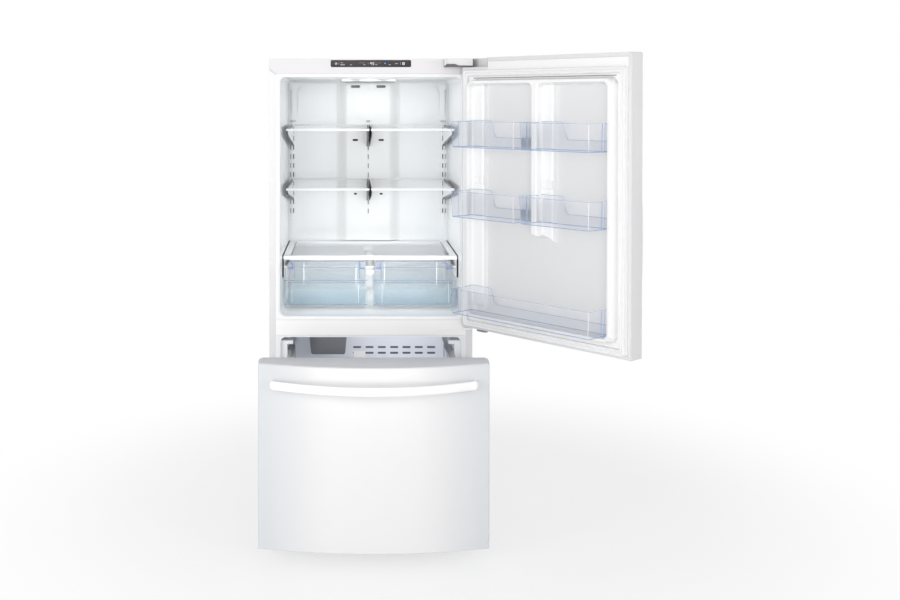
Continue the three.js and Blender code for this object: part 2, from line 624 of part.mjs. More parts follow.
// Half-width shelf on two cantilever brackets. It is made on the right and mirrored.
function shelfFrame(top) {
  const back = SHELF_BACK;
  const inner = SHELF_SPLIT + SHELF_RIM;
  const outer = SHELF_HALF - SHELF_RIM;
  const front = SHELF_FRONT + SHELF_FRONT_RIM;
  const under = top - SHELF_THICK;
  let frame = box(SHELF_SPLIT, SHELF_HALF, SHELF_FRONT, back, under, top)
    .subtract(box(inner, outer, front, back - SHELF_RIM, top - GLASS_THICK - GAP, top + 1))
    .subtract(box(inner + SHELF_LEDGE, outer - SHELF_LEDGE, front + SHELF_LEDGE,
      back - SHELF_RIM - SHELF_LEDGE, under - 1, top + 1));
  const brackets = [[LADDER_X - BRACKET_THICK / 2, LADDER_Y - GAP],
    [SHELF_SPLIT + 1, DUCT_Y - LADDER_THICK - GAP]];
  for (const [x, rear] of brackets) {
    const outline = polygon([[BRACKET_FRONT, under + 2], [BRACKET_FRONT, under - 4],
      [rear - 30, under - BRACKET_DROP], [rear, under - BRACKET_DROP], [rear, under + 2]]);
    frame = frame.add(alongX(outline, x, x + BRACKET_THICK));
  }
  return frame;
}

function shelfGlass(top) {
  return box(SHELF_SPLIT + SHELF_RIM + GAP, SHELF_HALF - SHELF_RIM - GAP,
    SHELF_FRONT + SHELF_FRONT_RIM + GAP, SHELF_BACK - SHELF_RIM - GAP,
    top - GLASS_THICK, top);
}

for (const [tier, drop] of SHELF_DROPS) {
  const top = FRIDGE_CEILING - drop;
  piece(`shelf_frame_${tier}_right`, shelfFrame(top), whitePlastic, cabinet);
  piece(`shelf_frame_${tier}_left`, shelfFrame(top).mirror([1, 0, 0]), whitePlastic, cabinet);
  piece(`shelf_glass_${tier}_right`, shelfGlass(top), clearGlass, cabinet);
  piece(`shelf_glass_${tier}_left`, shelfGlass(top).mirror([1, 0, 0]), clearGlass, cabinet);
}

const COVER_GLASS_HALF = CRISPER_COVER_HALF - 24;
const COVER_GLASS_Y = [CRISPER_COVER_FRONT + 28, CRISPER_COVER_BACK - 18];
const COVER_LEDGE = 6; // under the edge of the glass
function crisperCoverFrame() {
  const half = CRISPER_COVER_HALF;
  const low = CRISPER_COVER_LOW;
  const [g0, g1] = COVER_GLASS_Y;
  const rear = CRISPER_BACK + 4;
  const ledge = CRISPER_RIM_Z;
  const block = ledge - 28;
  return box(-half, half, CRISPER_COVER_FRONT, CRISPER_COVER_BACK, low, CRISPER_COVER_TOP)
    .subtract(box(-COVER_GLASS_HALF, COVER_GLASS_HALF, g0, g1,
      CRISPER_COVER_TOP - GLASS_THICK - GAP, CRISPER_COVER_TOP + 1))
    .subtract(box(-COVER_GLASS_HALF + COVER_LEDGE, COVER_GLASS_HALF - COVER_LEDGE,
      g0 + COVER_LEDGE, g1 - COVER_LEDGE, low - 1, CRISPER_COVER_TOP + 1))
    .add(boxPair(half - SKIRT_WALL, half, CRISPER_COVER_FRONT, rear, low - SKIRT_DROP, low + 1))
    .add(boxPair(half - LEDGE_WIDTH, half, CRISPER_FRONT + 6, rear, ledge - LEDGE_THICK, ledge))
    .add(box(-POST_WEB, POST_WEB, CRISPER_COVER_FRONT, g1, FRIDGE_FLOOR + GAP, low + 1))
    .add(box(-POST_HALF, POST_HALF, CRISPER_COVER_FRONT, rear, ledge - LEDGE_THICK, ledge))
    .add(box(-POST_HALF, POST_HALF, CRISPER_COVER_FRONT - 4, CRISPER_FRONT,
      block, block + POST_BLOCK));
}
piece('crisper_cover_frame', crisperCoverFrame(), whitePlastic, cabinet);
const crisperCoverGlass = box(-COVER_GLASS_HALF + GAP, COVER_GLASS_HALF - GAP,
  COVER_GLASS_Y[0] + GAP, COVER_GLASS_Y[1] - GAP, CRISPER_COVER_TOP - GLASS_THICK,
  CRISPER_COVER_TOP);
piece('crisper_cover_glass', crisperCoverGlass, clearGlass, cabinet);

const lampCover = alongZ(
  roundRect(-LAMP_HALF, LAMP_HALF, LAMP_FRONT, LAMP_FRONT + LAMP_DEPTH, LAMP_RADIUS),
  FRIDGE_CEILING - GAP - LAMP_THICK, FRIDGE_CEILING - GAP);
piece('ceiling_lamp_cover', lampCover, lampLens, cabinet);

// ---- Inside the freezer ----
function evaporatorCover() {
  const half = LINER_HALF - GAP;
  const y1 = EVAPORATOR_COVER_BACK;
  let cover = alongY(roundRect(-half, half, STEP_Z + GAP, FREEZER_CEILING - GAP, LINER_RADIUS),
    EVAPORATOR_COVER_Y, y1);
  for (const z of VENT_ROWS) {
    for (let i = 0; i < VENT_COLUMNS; i += 1) {
      const x = VENT_FIRST_X + i * VENT_PITCH;
      cover = cover.subtract(box(x - VENT_WIDTH / 2, x + VENT_WIDTH / 2,
        EVAPORATOR_COVER_Y - 1, y1 + 1, z - VENT_HEIGHT / 2, z + VENT_HEIGHT / 2));
    }
  }
  const shaft = EVAPORATOR_FAN_Y + EVAPORATOR_FAN_WIDTH / 2 + 4 - y1;
  return cover.add(bar('y', [EVAPORATOR_FAN_X, y1 - 1, EVAPORATOR_FAN_Z], FAN_SHAFT,
    shaft + 1, 12));
}
piece('evaporator_cover', evaporatorCover(), whitePlastic, cabinet);

// Block of fins with gaps between them, open at the top and the sides.
function finBlock(x0, x1, y0, y1, z0, z1, count) {
  let block = box(x0, x1, y0, y1, z0, z1);
  const pitch = (x1 - x0) / (count + 1);
  for (let i = 1; i <= count; i += 1) {
    const x = x0 + i * pitch;
    block = block.subtract(box(x - pitch * 0.35, x + pitch * 0.35, y0 - 1, y1 + 1,
      z0 + FIN_FOOT, z1 + 1));
  }
  return block;
}
piece('evaporator', finBlock(-EVAPORATOR_HALF, EVAPORATOR_HALF,
  EVAPORATOR_COVER_BACK + EVAPORATOR_CLEAR, FREEZER_DEPTH - GAP,
  STEP_Z + GAP, EVAPORATOR_TOP, EVAPORATOR_FINS), aluminium, cabinet);

function iceMaker() {
  const top = FREEZER_CEILING - GAP;
  const w = ICE_WALL;
  const back = ICE_FRONT + ICE_DEPTH;
  const outline = polygon([[ICE_LEFT + ICE_DRAFT, ICE_LOW], [ICE_RIGHT - ICE_DRAFT, ICE_LOW],
    [ICE_RIGHT, top], [ICE_LEFT, top]]);
  return alongY(outline, ICE_FRONT, back)
    .subtract(box(ICE_LEFT + ICE_DRAFT + w, ICE_RIGHT - ICE_DRAFT - w, ICE_FRONT + w,
      back + 1, ICE_LOW + w, top - w));
}
piece('ice_maker', iceMaker(), greyPlastic, cabinet);

// One channel of a telescopic slide, open towards the middle of the cabinet.
function channel(xIn, xOut, z0, z1, y0, y1) {
  return box(xIn, xOut, y0, y1, z0, z1)
    .subtract(box(xIn - 1, xOut - RAIL_SHEET, y0 - 1, y1 + 1, z0 + RAIL_SHEET, z1 - RAIL_SHEET));
}
const fixedRail = channel(RAIL_IN, RAIL_OUT, RAIL_LOW, RAIL_TOP, RAIL_FRONT, RAIL_BACK);
piece('slide_outer_right', fixedRail, sheetSteel, cabinet);
piece('slide_outer_left', fixedRail.mirror([1, 0, 0]), sheetSteel, cabinet);

// ---- Hinges ----
function topHinge() {
  const right = DOOR_HALF;
  const left = right - ARM_LENGTH;
  const inner = right - FLANGE_THICK;
  const front = HINGE_Y - HINGE_REACH;
  const block = left + ARM_LENGTH * 0.27;
  return box(left, inner, front, -GAP, ARM_Z, ARM_Z + ARM_THICK)
    .add(box(inner - 1, right, front, -DOOR_GAP, ARM_Z, ARM_Z + ARM_THICK))
    .add(box(inner, right, front + 4, -DOOR_GAP, ARM_Z, CASE_TOP - 1.5))
    .add(box(left, inner, -GAP - FLANGE_THICK, -GAP, ARM_Z, ARM_Z + ARM_FLANGE))
    .add(box(block, block + ARM_BLOCK_WIDTH, -30, -8, ARM_Z, ARM_Z + ARM_BLOCK_HEIGHT))
    .add(bar('z', [HINGE_X, HINGE_Y, ARM_Z - PIN_LENGTH], PIN_RADIUS, PIN_LENGTH + 1));
}
piece('top_hinge', topHinge(), darkSteel, cabinet);

function topHingeCover() {
  const w = COVER_WALL;
  const left = DOOR_HALF - ARM_LENGTH + 7;
  const right = DOOR_HALF - FLANGE_THICK - 1;
  const front = HINGE_Y - HINGE_REACH - 4;
  const back = -GAP * 2 - FLANGE_THICK;
  const low = ARM_Z + ARM_THICK + GAP;
  const top = CASE_TOP - 0.5;
  return box(left, right, front, back, low, top)
    .subtract(box(left + w, right - w, front + w, back - w, low - 1, top - w));
}
piece('top_hinge_cover', topHingeCover(), whitePlastic, cabinet);

function middleHinge() {
  const right = DOOR_HALF - 2;
  const low = MID_PLATE_LOW - 13.5;
  return box(HINGE_X - 22, right, HINGE_Y - HINGE_REACH, -GAP,
    MID_PLATE_LOW, MID_PLATE_LOW + MID_PLATE_THICK)
    .add(box(right - MID_FLANGE_WIDTH, right, -GAP - FLANGE_THICK, -GAP,
      low, low + MID_FLANGE_HEIGHT))
    .add(bar('z', [HINGE_X, HINGE_Y, MID_PLATE_LOW + 1], PIN_RADIUS, PIN_LENGTH + 6));
}
piece('middle_hinge', middleHinge(), whitePaint, cabinet);

// ---- Machine compartment ----
function compressor() {
  const z0 = BASE_TOP + GAP;
  const r = COMPRESSOR_RADIUS;
  const h = COMPRESSOR_HEIGHT;
  const low = z0 + COMPRESSOR_FOOT;
  const [x0, y0] = COMPRESSOR_AT;
  const [footX, footY] = COMPRESSOR_FEET;
  const profile = [[0, 0], [0.74, 0], [0.94, 0.1], [1, 0.25], [1, 0.62], [0.9, 0.83],
    [0.61, 0.95], [0, 1]].map(([a, b]) => new THREE.Vector2(a * r, low + b * h));
  const shell = new THREE.LatheGeometry(profile, 24);
  const plate = box(x0 - footX - 10, x0 + footX + 10, y0 - footY - 10, y0 + footY + 10,
    low - 2, low + 2);
  let unit = solid(shell.rotateX(Math.PI / 2)).translate([x0, y0, 0]).add(plate);
  for (const x of [x0 - footX, x0 + footX]) {
    for (const y of [y0 - footY, y0 + footY]) {
      unit = unit.add(bar('z', [x, y, z0], FOOT_RADIUS, COMPRESSOR_FOOT, 12));
    }
  }
  return unit;
}
piece('compressor', compressor(), blackPaint, cabinet);
piece('condenser', finBlock(...CONDENSER_X, ...CONDENSER_Y, BASE_TOP + GAP, CONDENSER_TOP,
  CONDENSER_FINS), aluminium, cabinet);

function drainPan() {
  const z0 = BASE_TOP + GAP;
  const w = PAN_WALL;
  return box(...PAN_X, ...PAN_Y, z0, z0 + PAN_HEIGHT).subtract(box(PAN_X[0] + w, PAN_X[1] - w,
    PAN_Y[0] + w, PAN_Y[1] - w, z0 + w, z0 + PAN_HEIGHT + 1));
}
piece('drain_pan', drainPan(), greyPlastic, cabinet);

function rearCover() {
  const back = CASE_DEPTH - RETURN_DEPTH;
  const half = (GRILLE_PITCH - GRILLE_BAR) / 2;
  let cover = box(-CASE_IN, CASE_IN, back - REAR_COVER_SHEET, back,
    BASE_TOP + GAP, MACHINE_TOP - BASE_SHEET - GAP);
  for (let row = 0; row < GRILLE_ROWS; row += 1) {
    for (let column = 0; column < GRILLE_COLUMNS; column += 1) {
      const x = (column - (GRILLE_COLUMNS - 1) / 2) * GRILLE_PITCH;
      const z = GRILLE_LOW + row * GRILLE_RISE;
      cover = cover.subtract(box(x - half, x + half, back - REAR_COVER_SHEET - 1, back + 1,
        z - GRILLE_SLOT / 2, z + GRILLE_SLOT / 2));
    }
  }
  return cover;
}
piece('rear_cover', rearCover(), sheetSteel, cabinet);

// Fan with its hub on +X or +Y: twisted blades round a bored hub.
function fan(axis, centre, radius, width) {
  const [x, y, z] = centre;
  const start = axis === 'x' ? [x - width / 2, y, z] : [x, y - width / 2, z];
  let blades = bar(axis, start, FAN_HUB, width, 16);
  for (let i = 0; i < FAN_BLADES; i += 1) {
    const blade = new THREE.BoxGeometry(BLADE_THICK, radius - FAN_HUB + 4, width * 1.1);
    blade.rotateY(BLADE_TWIST).translate(0, (radius + FAN_HUB - 4) / 2, 0)
      .rotateZ((i / FAN_BLADES) * Math.PI * 2);
    if (axis === 'x') blade.rotateY(Math.PI / 2);
    if (axis === 'y') blade.rotateX(Math.PI / 2);
    blades = blades.add(solid(blade.translate(x, y, z)));
  }
  const bore = axis === 'x' ? [x - width, y, z] : [x, y - width, z];
  return blades.subtract(bar(axis, bore, FAN_SHAFT + GAP, width * 2, 12));
}
const evaporatorFan = fan('y', [EVAPORATOR_FAN_X, EVAPORATOR_FAN_Y, EVAPORATOR_FAN_Z],
  EVAPORATOR_FAN_RADIUS, EVAPORATOR_FAN_WIDTH);
piece('evaporator_fan', evaporatorFan, greyPlastic, refrigerator);
const condenserFan = fan('x', [FAN_POST_X - FAN_STAND, CONDENSER_FAN_Y, CONDENSER_FAN_Z],
  CONDENSER_FAN_RADIUS, CONDENSER_FAN_WIDTH);
piece('condenser_fan', condenserFan, greyPlastic, refrigerator);

for (const [name, side] of [['left', -1], ['right', 1]]) {
  const leg = bar('z', [side * LEG_X, LEG_Y, 0], LEG_RADIUS, LEG_PAD, 24)
    .add(bar('z', [side * LEG_X, LEG_Y, LEG_PAD - 1], LEG_SCREW, BASE_TOP - LEG_PAD + 6));
  piece(`leg_${name}`, leg, rubberGrey, refrigerator);
}

function rearRollers() {
  const reach = ROLLER_EARS[1] + 8;
  let rollers = bar('x', [-reach, ROLLER_Y, ROLLER_RADIUS], AXLE_RADIUS, reach * 2, 16);
  for (const side of [-1, 1]) {
    const x = side * ROLLER_X - ROLLER_WIDTH / 2;
    rollers = rollers.add(bar('x', [x, ROLLER_Y, ROLLER_RADIUS], ROLLER_RADIUS, ROLLER_WIDTH, 32));
  }
  return rollers;
}
piece('rear_rollers', rearRollers(), rubberGrey, refrigerator);

// ---- Door and drawer fronts ----
// Plan of a bowed front, drawn in from its outside by inset. Its face is an arc.
function frontPlan(half, back, inset) {
  const radius = (half * half + DOOR_BOW * DOOR_BOW) / (2 * DOOR_BOW);
  const centre = DOOR_CORNER - DOOR_BOW + radius;
  const turn = Math.asin((half - inset) / (radius - inset));
  const shape = new THREE.Shape();
  shape.moveTo(-half + inset, back);
  shape.lineTo(-half + inset, centre - (radius - inset) * Math.cos(turn));
  shape.absarc(0, centre, radius - inset, -Math.PI / 2 - turn, -Math.PI / 2 + turn);
  shape.lineTo(half - inset, back);
  return shape;
}
const FRONT_SEGMENTS = 24;

// Where the bowed face lies at x.
function faceY(half, x) {
  const radius = (half * half + DOOR_BOW * DOOR_BOW) / (2 * DOOR_BOW);
  return DOOR_CORNER - DOOR_BOW + radius - Math.sqrt(radius * radius - x * x);
}

// Shell of a front: face, sides, top, bottom and a narrow return at the back.
function frontShell(half, z0, z1) {
  const back = -DOOR_GAP;
  return alongZ(frontPlan(half, back, 0), z0, z1, FRONT_SEGMENTS)
    .subtract(alongZ(frontPlan(half, back - DOOR_SHEET, DOOR_SHEET), z0 + DOOR_SHEET,
      z1 - DOOR_SHEET, FRONT_SEGMENTS))
    .subtract(box(-half + DOOR_RETURN, half - DOOR_RETURN, back - 2, back + 1,
      z0 + DOOR_RETURN, z1 - DOOR_RETURN));
}

// The form of a formed inner panel, moved towards the foam by sink.
function panelForm(half, z0, z1, rise, sink) {
  const edge = GASKET_OUT - DIKE_OUT;
  const low = z0 + edge;
  const high = z1 - edge;
  const dike = roundRect(-DIKE_OUT + sink, DIKE_OUT - sink, low + sink, high - sink,
    DIKE_RADIUS - sink);
  const slab = box(-half, half, DOOR_CORNER - DOOR_BOW * 3, -DOOR_GAP - sink, 0, DOOR_TOP);
  const field = roundRect(-DIKE_OUT + DIKE_WIDTH - sink, DIKE_OUT - DIKE_WIDTH + sink,
    low + DIKE_WIDTH - sink, high - DIKE_WIDTH + sink, FIELD_RADIUS + sink);
  return slab.add(alongY(dike, FORM_FRONT, -DOOR_GAP + rise - sink))
    .subtract(alongY(field, -DOOR_GAP - FIELD_SINK - sink, -DOOR_GAP + rise + 5));
}

function doorForm(half, sink) {
  const seat = -DOOR_GAP + PILASTER_RISE - sink;
  const outer = DIKE_OUT - DIKE_WIDTH + 2;
  return panelForm(half, GASKET_LOW - 2, GASKET_TOP + 5, DIKE_RISE, sink)
    .add(box(outer - PILASTER_WIDTH + sink, outer, FORM_FRONT, seat,
      GASKET_LOW + 50, FIELD_TOP + 2))
    .add(box(-RIB_HALF - PILASTER_WIDTH + sink, -RIB_HALF, FORM_FRONT, seat,
      RIB_LOW + sink, FIELD_TOP + 2))
    .add(box(-RIB_HALF + sink, RIB_HALF - sink, FORM_FRONT, -DOOR_GAP + DIKE_RISE - 4 - sink,
      RIB_LOW + sink, FIELD_TOP + 2));
}

function gasket(z0, z1) {
  const ring = roundRect(-GASKET_OUT, GASKET_OUT, z0, z1, 8);
  const hole = roundRect(-GASKET_OUT + GASKET_WIDTH, GASKET_OUT - GASKET_WIDTH,
    z0 + GASKET_WIDTH, z1 - GASKET_WIDTH, 4);
  return alongY(ring, -DOOR_GAP + GAP, -GASKET_AIR)
    .subtract(alongY(hole, -DOOR_GAP, 0));
}

// Plan of a bowed handle bar with its two posts. start is where the posts stand.
function handlePlan(end, middle, start) {
  const sag = end - middle;
  const radius = (HANDLE_HALF * HANDLE_HALF + sag * sag) / (2 * sag);
  const turn = Math.asin(HANDLE_HALF / radius);
  const inner = Math.asin((HANDLE_HALF - HANDLE_POST) / (radius - HANDLE_THICK));
  const shape = new THREE.Shape();
  shape.moveTo(-HANDLE_HALF, start);
  shape.lineTo(-HANDLE_HALF, end);
  shape.absarc(0, middle + radius, radius, -Math.PI / 2 - turn, -Math.PI / 2 + turn);
  shape.lineTo(HANDLE_HALF, start);
  shape.lineTo(HANDLE_HALF - HANDLE_POST, start);
  shape.absarc(0, middle + radius, radius - HANDLE_THICK,
    -Math.PI / 2 + inner, -Math.PI / 2 - inner, true);
  shape.lineTo(-HANDLE_HALF + HANDLE_POST, start);
  return shape;
}

// ---- Fridge door, turned about its hinge pins ----
const doorHinge = new THREE.Group();
doorHinge.position.set(HINGE_X, HINGE_Y, 0);
doorHinge.rotation.z = THREE.MathUtils.degToRad(DOOR_OPEN);
refrigerator.add(doorHinge);
const door = new THREE.Group();
door.position.set(-HINGE_X, -HINGE_Y, 0);
doorHinge.add(door);

// Corner notch for the top hinge and the holes for both pins.
function notch(grow) {
  return box(DOOR_HALF - NOTCH_WIDTH - grow, DOOR_HALF + 10, NOTCH_FRONT - grow, 5,
    DOOR_TOP - NOTCH_HEIGHT - grow, DOOR_TOP + 10);
}
function pinHoles(grow) {
  return bar('z', [HINGE_X, HINGE_Y, ARM_Z - PIN_LENGTH - 2], PIN_RADIUS + grow, PIN_LENGTH + 4)
    .add(bar('z', [HINGE_X, HINGE_Y, DOOR_LOW - 2], PIN_RADIUS + grow, PIN_LENGTH + 4));
}

function doorSkin() {
  const pocket = box(DOOR_HALF - NOTCH_WIDTH - NOTCH_WALL, DOOR_HALF,
    NOTCH_FRONT - NOTCH_WALL, -DOOR_GAP, DOOR_TOP - NOTCH_HEIGHT - NOTCH_WALL, DOOR_TOP);
  return frontShell(DOOR_HALF, DOOR_LOW, DOOR_TOP).add(pocket)
    .add(box(...STOP_X, ...STOP_Y, DOOR_LOW - STOP_DROP, DOOR_LOW + 1))
    .subtract(notch(0)).subtract(pinHoles(GAP));
}
piece('door_skin', doorSkin(), whitePaint, door);

function insidePlate(half, z0, z1) {
  const edge = half - DOOR_RETURN - GAP;
  return box(-edge, edge, FORM_FRONT, DIKE_RISE, z0 + DOOR_RETURN + GAP, z1 - DOOR_RETURN - GAP);
}
const doorLiner = doorForm(DOOR_HALF, 0).subtract(doorForm(DOOR_HALF, LINER_WALL))
  .intersect(insidePlate(DOOR_HALF, DOOR_LOW, DOOR_TOP)).subtract(notch(NOTCH_WALL + GAP));
piece('door_liner', doorLiner, whitePlastic, door);

function doorFoam() {
  const inset = DOOR_SHEET + GAP;
  return alongZ(frontPlan(DOOR_HALF, DIKE_RISE, inset), DOOR_LOW + inset, DOOR_TOP - inset,
    FRONT_SEGMENTS)
    .intersect(doorForm(DOOR_HALF, LINER_WALL + GAP))
    .subtract(notch(NOTCH_WALL + GAP)).subtract(pinHoles(2));
}
piece('door_foam', doorFoam(), foamYellow, door);
piece('door_gasket', gasket(GASKET_LOW, GASKET_TOP), rubberWhite, door);

function doorHandle() {
  const face = faceY(DOOR_HALF, DOOR_HANDLE_X + HANDLE_HEIGHT / 2);
  const plan = handlePlan(face - HANDLE_END, face - DOOR_HANDLE_STAND, face + 4);
  const upright = alongZ(plan, -HANDLE_HEIGHT / 2, HANDLE_HEIGHT / 2, FRONT_SEGMENTS)
    .rotate([0, 90, 0]).translate([DOOR_HANDLE_X, 0, DOOR_HANDLE_Z]);
  return upright.subtract(alongZ(frontPlan(DOOR_HALF + 3 * GAP, DIKE_RISE, 0), DOOR_LOW, DOOR_TOP,
    FRONT_SEGMENTS).translate([0, -GAP, 0]));
}
piece('door_handle', doorHandle(), whitePaint, door);

// Open bin on the door, deeper at the front than its rear wall.
function bin(x0, x1, z0, height) {
  const w = BIN_WALL;
  const outer = roundRect(x0, x1, BIN_BACK, BIN_FRONT, BIN_RADIUS);
  const inner = roundRect(x0 + w, x1 - w, BIN_BACK + w, BIN_FRONT - w, BIN_RADIUS - w);
  return alongZ(outer, z0, z0 + height).subtract(alongZ(inner, z0 + w, z0 + height + 1));
}
for (const [row, z0] of BIN_ROWS) {
  piece(`bin_${row}_hinge_side`, bin(BIN_IN, BIN_OUT, z0, BIN_HEIGHT), clearBlue, door);
  piece(`bin_${row}_handle_side`, bin(-BIN_OUT, -BIN_IN, z0, BIN_HEIGHT), clearBlue, door);
}
piece('bin_bottom', bin(-BIN_OUT, BIN_OUT, BIN_BOTTOM_LOW, BIN_BOTTOM_HEIGHT), clearBlue, door);

// ---- Freezer drawer, pulled out ----
const drawer = new THREE.Group();
drawer.position.y = -DRAWER_PULL;
refrigerator.add(drawer);

// Everything above the drawer's sloped top, lowered by drop.
function aboveTop(drop) {
  const rear = DRAWER_TOP - drop;
  const span = DOOR_EDGE + DOOR_BOW * 2;
  return alongX(polygon([[-DOOR_GAP + 5, rear + 5 * DRAWER_TOP_FALL],
    [-DOOR_GAP - span, rear - span * DRAWER_TOP_FALL], [-DOOR_GAP - span, rear + 60],
    [-DOOR_GAP + 5, rear + 60]]), -DRAWER_HALF - 25, DRAWER_HALF + 25);
}

function drawerSkin() {
  const plan = frontPlan(DRAWER_HALF, -DOOR_GAP, 0);
  const inside = frontPlan(DRAWER_HALF, -DOOR_GAP - DOOR_SHEET, DOOR_SHEET);
  const hollow = alongZ(inside, DRAWER_LOW + DOOR_SHEET, DRAWER_TOP, FRONT_SEGMENTS)
    .subtract(aboveTop(DOOR_SHEET * 1.2));
  return alongZ(plan, DRAWER_LOW, DRAWER_TOP, FRONT_SEGMENTS).subtract(aboveTop(0))
    .subtract(hollow)
    .subtract(box(-DRAWER_HALF + DOOR_RETURN, DRAWER_HALF - DOOR_RETURN, -DOOR_GAP - 2, 0,
      DRAWER_LOW + DOOR_RETURN, DRAWER_TOP - DOOR_RETURN));
}
piece('drawer_skin', drawerSkin(), whitePaint, drawer);

function drawerForm(half, sink) {
  return panelForm(half, DRAWER_GASKET[0] - 2, DRAWER_GASKET[1] - 2, DRAWER_DIKE_RISE, sink)
    .add(box(-DIKE_OUT + PAD_INSET + sink, DIKE_OUT - PAD_INSET - sink, FORM_FRONT,
      -DOOR_GAP - sink, DRAWER_GASKET[0] + DRAWER_PAD[0] + sink,
      DRAWER_GASKET[1] - DRAWER_PAD[1] - sink));
}
const drawerLiner = drawerForm(DRAWER_HALF, 0).subtract(drawerForm(DRAWER_HALF, LINER_WALL))
  .intersect(insidePlate(DRAWER_HALF, DRAWER_LOW, DRAWER_TOP));
piece('drawer_liner', drawerLiner, whitePlastic, drawer);

function drawerFoam() {
  const inset = DOOR_SHEET + GAP;
  return alongZ(frontPlan(DRAWER_HALF, DIKE_RISE, inset), DRAWER_LOW + inset, DRAWER_TOP,
    FRONT_SEGMENTS)
    .subtract(aboveTop(DOOR_SHEET * 1.2 + GAP))
    .intersect(drawerForm(DRAWER_HALF, LINER_WALL + GAP));
}
piece('drawer_foam', drawerFoam(), foamYellow, drawer);
piece('drawer_gasket', gasket(...DRAWER_GASKET), rubberWhite, drawer);

function drawerHandle() {
  const middle = faceY(DRAWER_HALF, 0) - HANDLE_STAND;
  const plan = handlePlan(faceY(DRAWER_HALF, HANDLE_HALF) - HANDLE_END, middle,
    faceY(DRAWER_HALF, HANDLE_HALF) + 10);
  const z0 = DRAWER_HANDLE_Z - HANDLE_HEIGHT / 2;
  return alongZ(plan, z0, z0 + HANDLE_HEIGHT, FRONT_SEGMENTS)
    .subtract(alongZ(frontPlan(DRAWER_HALF + 3 * GAP, DIKE_RISE, 0), z0 - 5, z0 + HANDLE_HEIGHT + 5,
      FRONT_SEGMENTS).translate([0, -GAP, 0]));
}
piece('drawer_handle', drawerHandle(), whitePaint, drawer);

// Moving slide members joined by a plate on the inner panel, with ledges for the basket.
const MIDDLE_OUT = RAIL_OUT - RAIL_SHEET - 2.5;
const MIDDLE_IN = RAIL_IN - 5;
const MIDDLE_Z = [RAIL_LOW + RAIL_SHEET + RAIL_PLAY, RAIL_TOP - RAIL_SHEET - RAIL_PLAY];
const INNER_Z = [MIDDLE_Z[0] + RAIL_SHEET + RAIL_PLAY, MIDDLE_Z[1] - RAIL_SHEET - RAIL_PLAY];
const INNER_OUT = MIDDLE_OUT - RAIL_SHEET - 3.5;
const FRAME_IN = RAIL_IN - 13;
const FRAME_FRONT = -DOOR_GAP + GAP;
function drawerFrame() {
  const rear = RAIL_BACK - 14;
  const web = FRAME_IN + FRAME_SHEET;
  const low = FRAME_LEDGE_Z - FRAME_SHEET;
  const side = box(FRAME_IN, web, FRAME_FRONT, rear, low, INNER_Z[1])
    .add(box(FRAME_IN, INNER_OUT, FRAME_FRONT, rear, INNER_Z[0], INNER_Z[0] + FRAME_SHEET))
    .add(box(FRAME_IN, INNER_OUT, FRAME_FRONT, rear, INNER_Z[1] - FRAME_SHEET, INNER_Z[1]))
    .add(box(BASKET_HALF + 3, web, FRAME_FRONT, BASKET_BACK, low, FRAME_LEDGE_Z));
  return side.add(side.mirror([1, 0, 0]))
    .add(box(-web, web, FRAME_FRONT, FRAME_FRONT + FRAME_SHEET, low, low + FRAME_PLATE));
}
piece('drawer_frame', drawerFrame(), sheetSteel, drawer);

function basket() {
  const w = BASKET_WALL;
  const front = FRAME_FRONT + FRAME_SHEET + 2;
  const rim = FRAME_LEDGE_Z + GAP;
  const outer = roundRect(-BASKET_HALF, BASKET_HALF, front, BASKET_BACK, BASKET_RADIUS);
  const inner = roundRect(-BASKET_HALF + w, BASKET_HALF - w, front + w, BASKET_BACK - w,
    BASKET_RADIUS - w);
  return alongZ(outer, BASKET_LOW, BASKET_TOP)
    .add(box(-FRAME_IN + 5, FRAME_IN - 5, front + 4, BASKET_BACK - 8, rim, BASKET_TOP))
    .subtract(alongZ(inner, BASKET_LOW + w, BASKET_TOP + 1))
    .add(box(...BASKET_TAB, BASKET_BACK - w, BASKET_BACK,
      BASKET_TOP - BASKET_TAB_LAP, BASKET_TAB_TOP));
}
piece('drawer_basket', basket(), whitePlastic, drawer);

// Middle slide members, joined behind the basket by a stabiliser bar. They move half as far.
const middleSlides = new THREE.Group();
middleSlides.position.y = -DRAWER_PULL / 2;
refrigerator.add(middleSlides);
const STABILISER_DROP = 64; // bar's underside below the slides
const STABILISER = 10;
function slideMiddles() {
  const rear = RAIL_BACK - 1;
  const low = RAIL_LOW - STABILISER_DROP;
  const right = channel(MIDDLE_IN, MIDDLE_OUT, ...MIDDLE_Z, RAIL_FRONT, rear)
    .add(box(MIDDLE_IN, MIDDLE_IN + 4, rear - 6, rear, low, MIDDLE_Z[0] + 1));
  return right.add(right.mirror([1, 0, 0]))
    .add(box(-MIDDLE_IN - 4, MIDDLE_IN + 4, rear - 6, rear, low, low + STABILISER));
}
piece('slide_middles', slideMiddles(), sheetSteel, middleSlides);

// ---- Crispers ----
function crisper() {
  const w = CRISPER_WALL;
  const r = CRISPER_RADIUS;
  const x0 = POST_HALF + 4;
  const x1 = CRISPER_COVER_HALF - 16;
  const rimOut = CRISPER_COVER_HALF - SKIRT_WALL - CRISPER_PLAY;
  const top = CRISPER_COVER_LOW - 2;
  const rim = CRISPER_RIM_Z + GAP;
  const outer = roundRect(x0, x1, CRISPER_FRONT + GAP, CRISPER_BACK, r);
  const inner = roundRect(x0 + w, x1 - w, CRISPER_FRONT + GAP + w, CRISPER_BACK - w, r - w);
  return alongZ(outer, CRISPER_LOW, top)
    .add(box(POST_WEB + CRISPER_PLAY, rimOut, CRISPER_FRONT + 10, CRISPER_BACK - 10,
      rim, rim + CRISPER_RIM))
    .subtract(alongZ(inner, CRISPER_LOW + w, top + 1));
}
piece('crisper_right', crisper(), clearBlue, refrigerator);
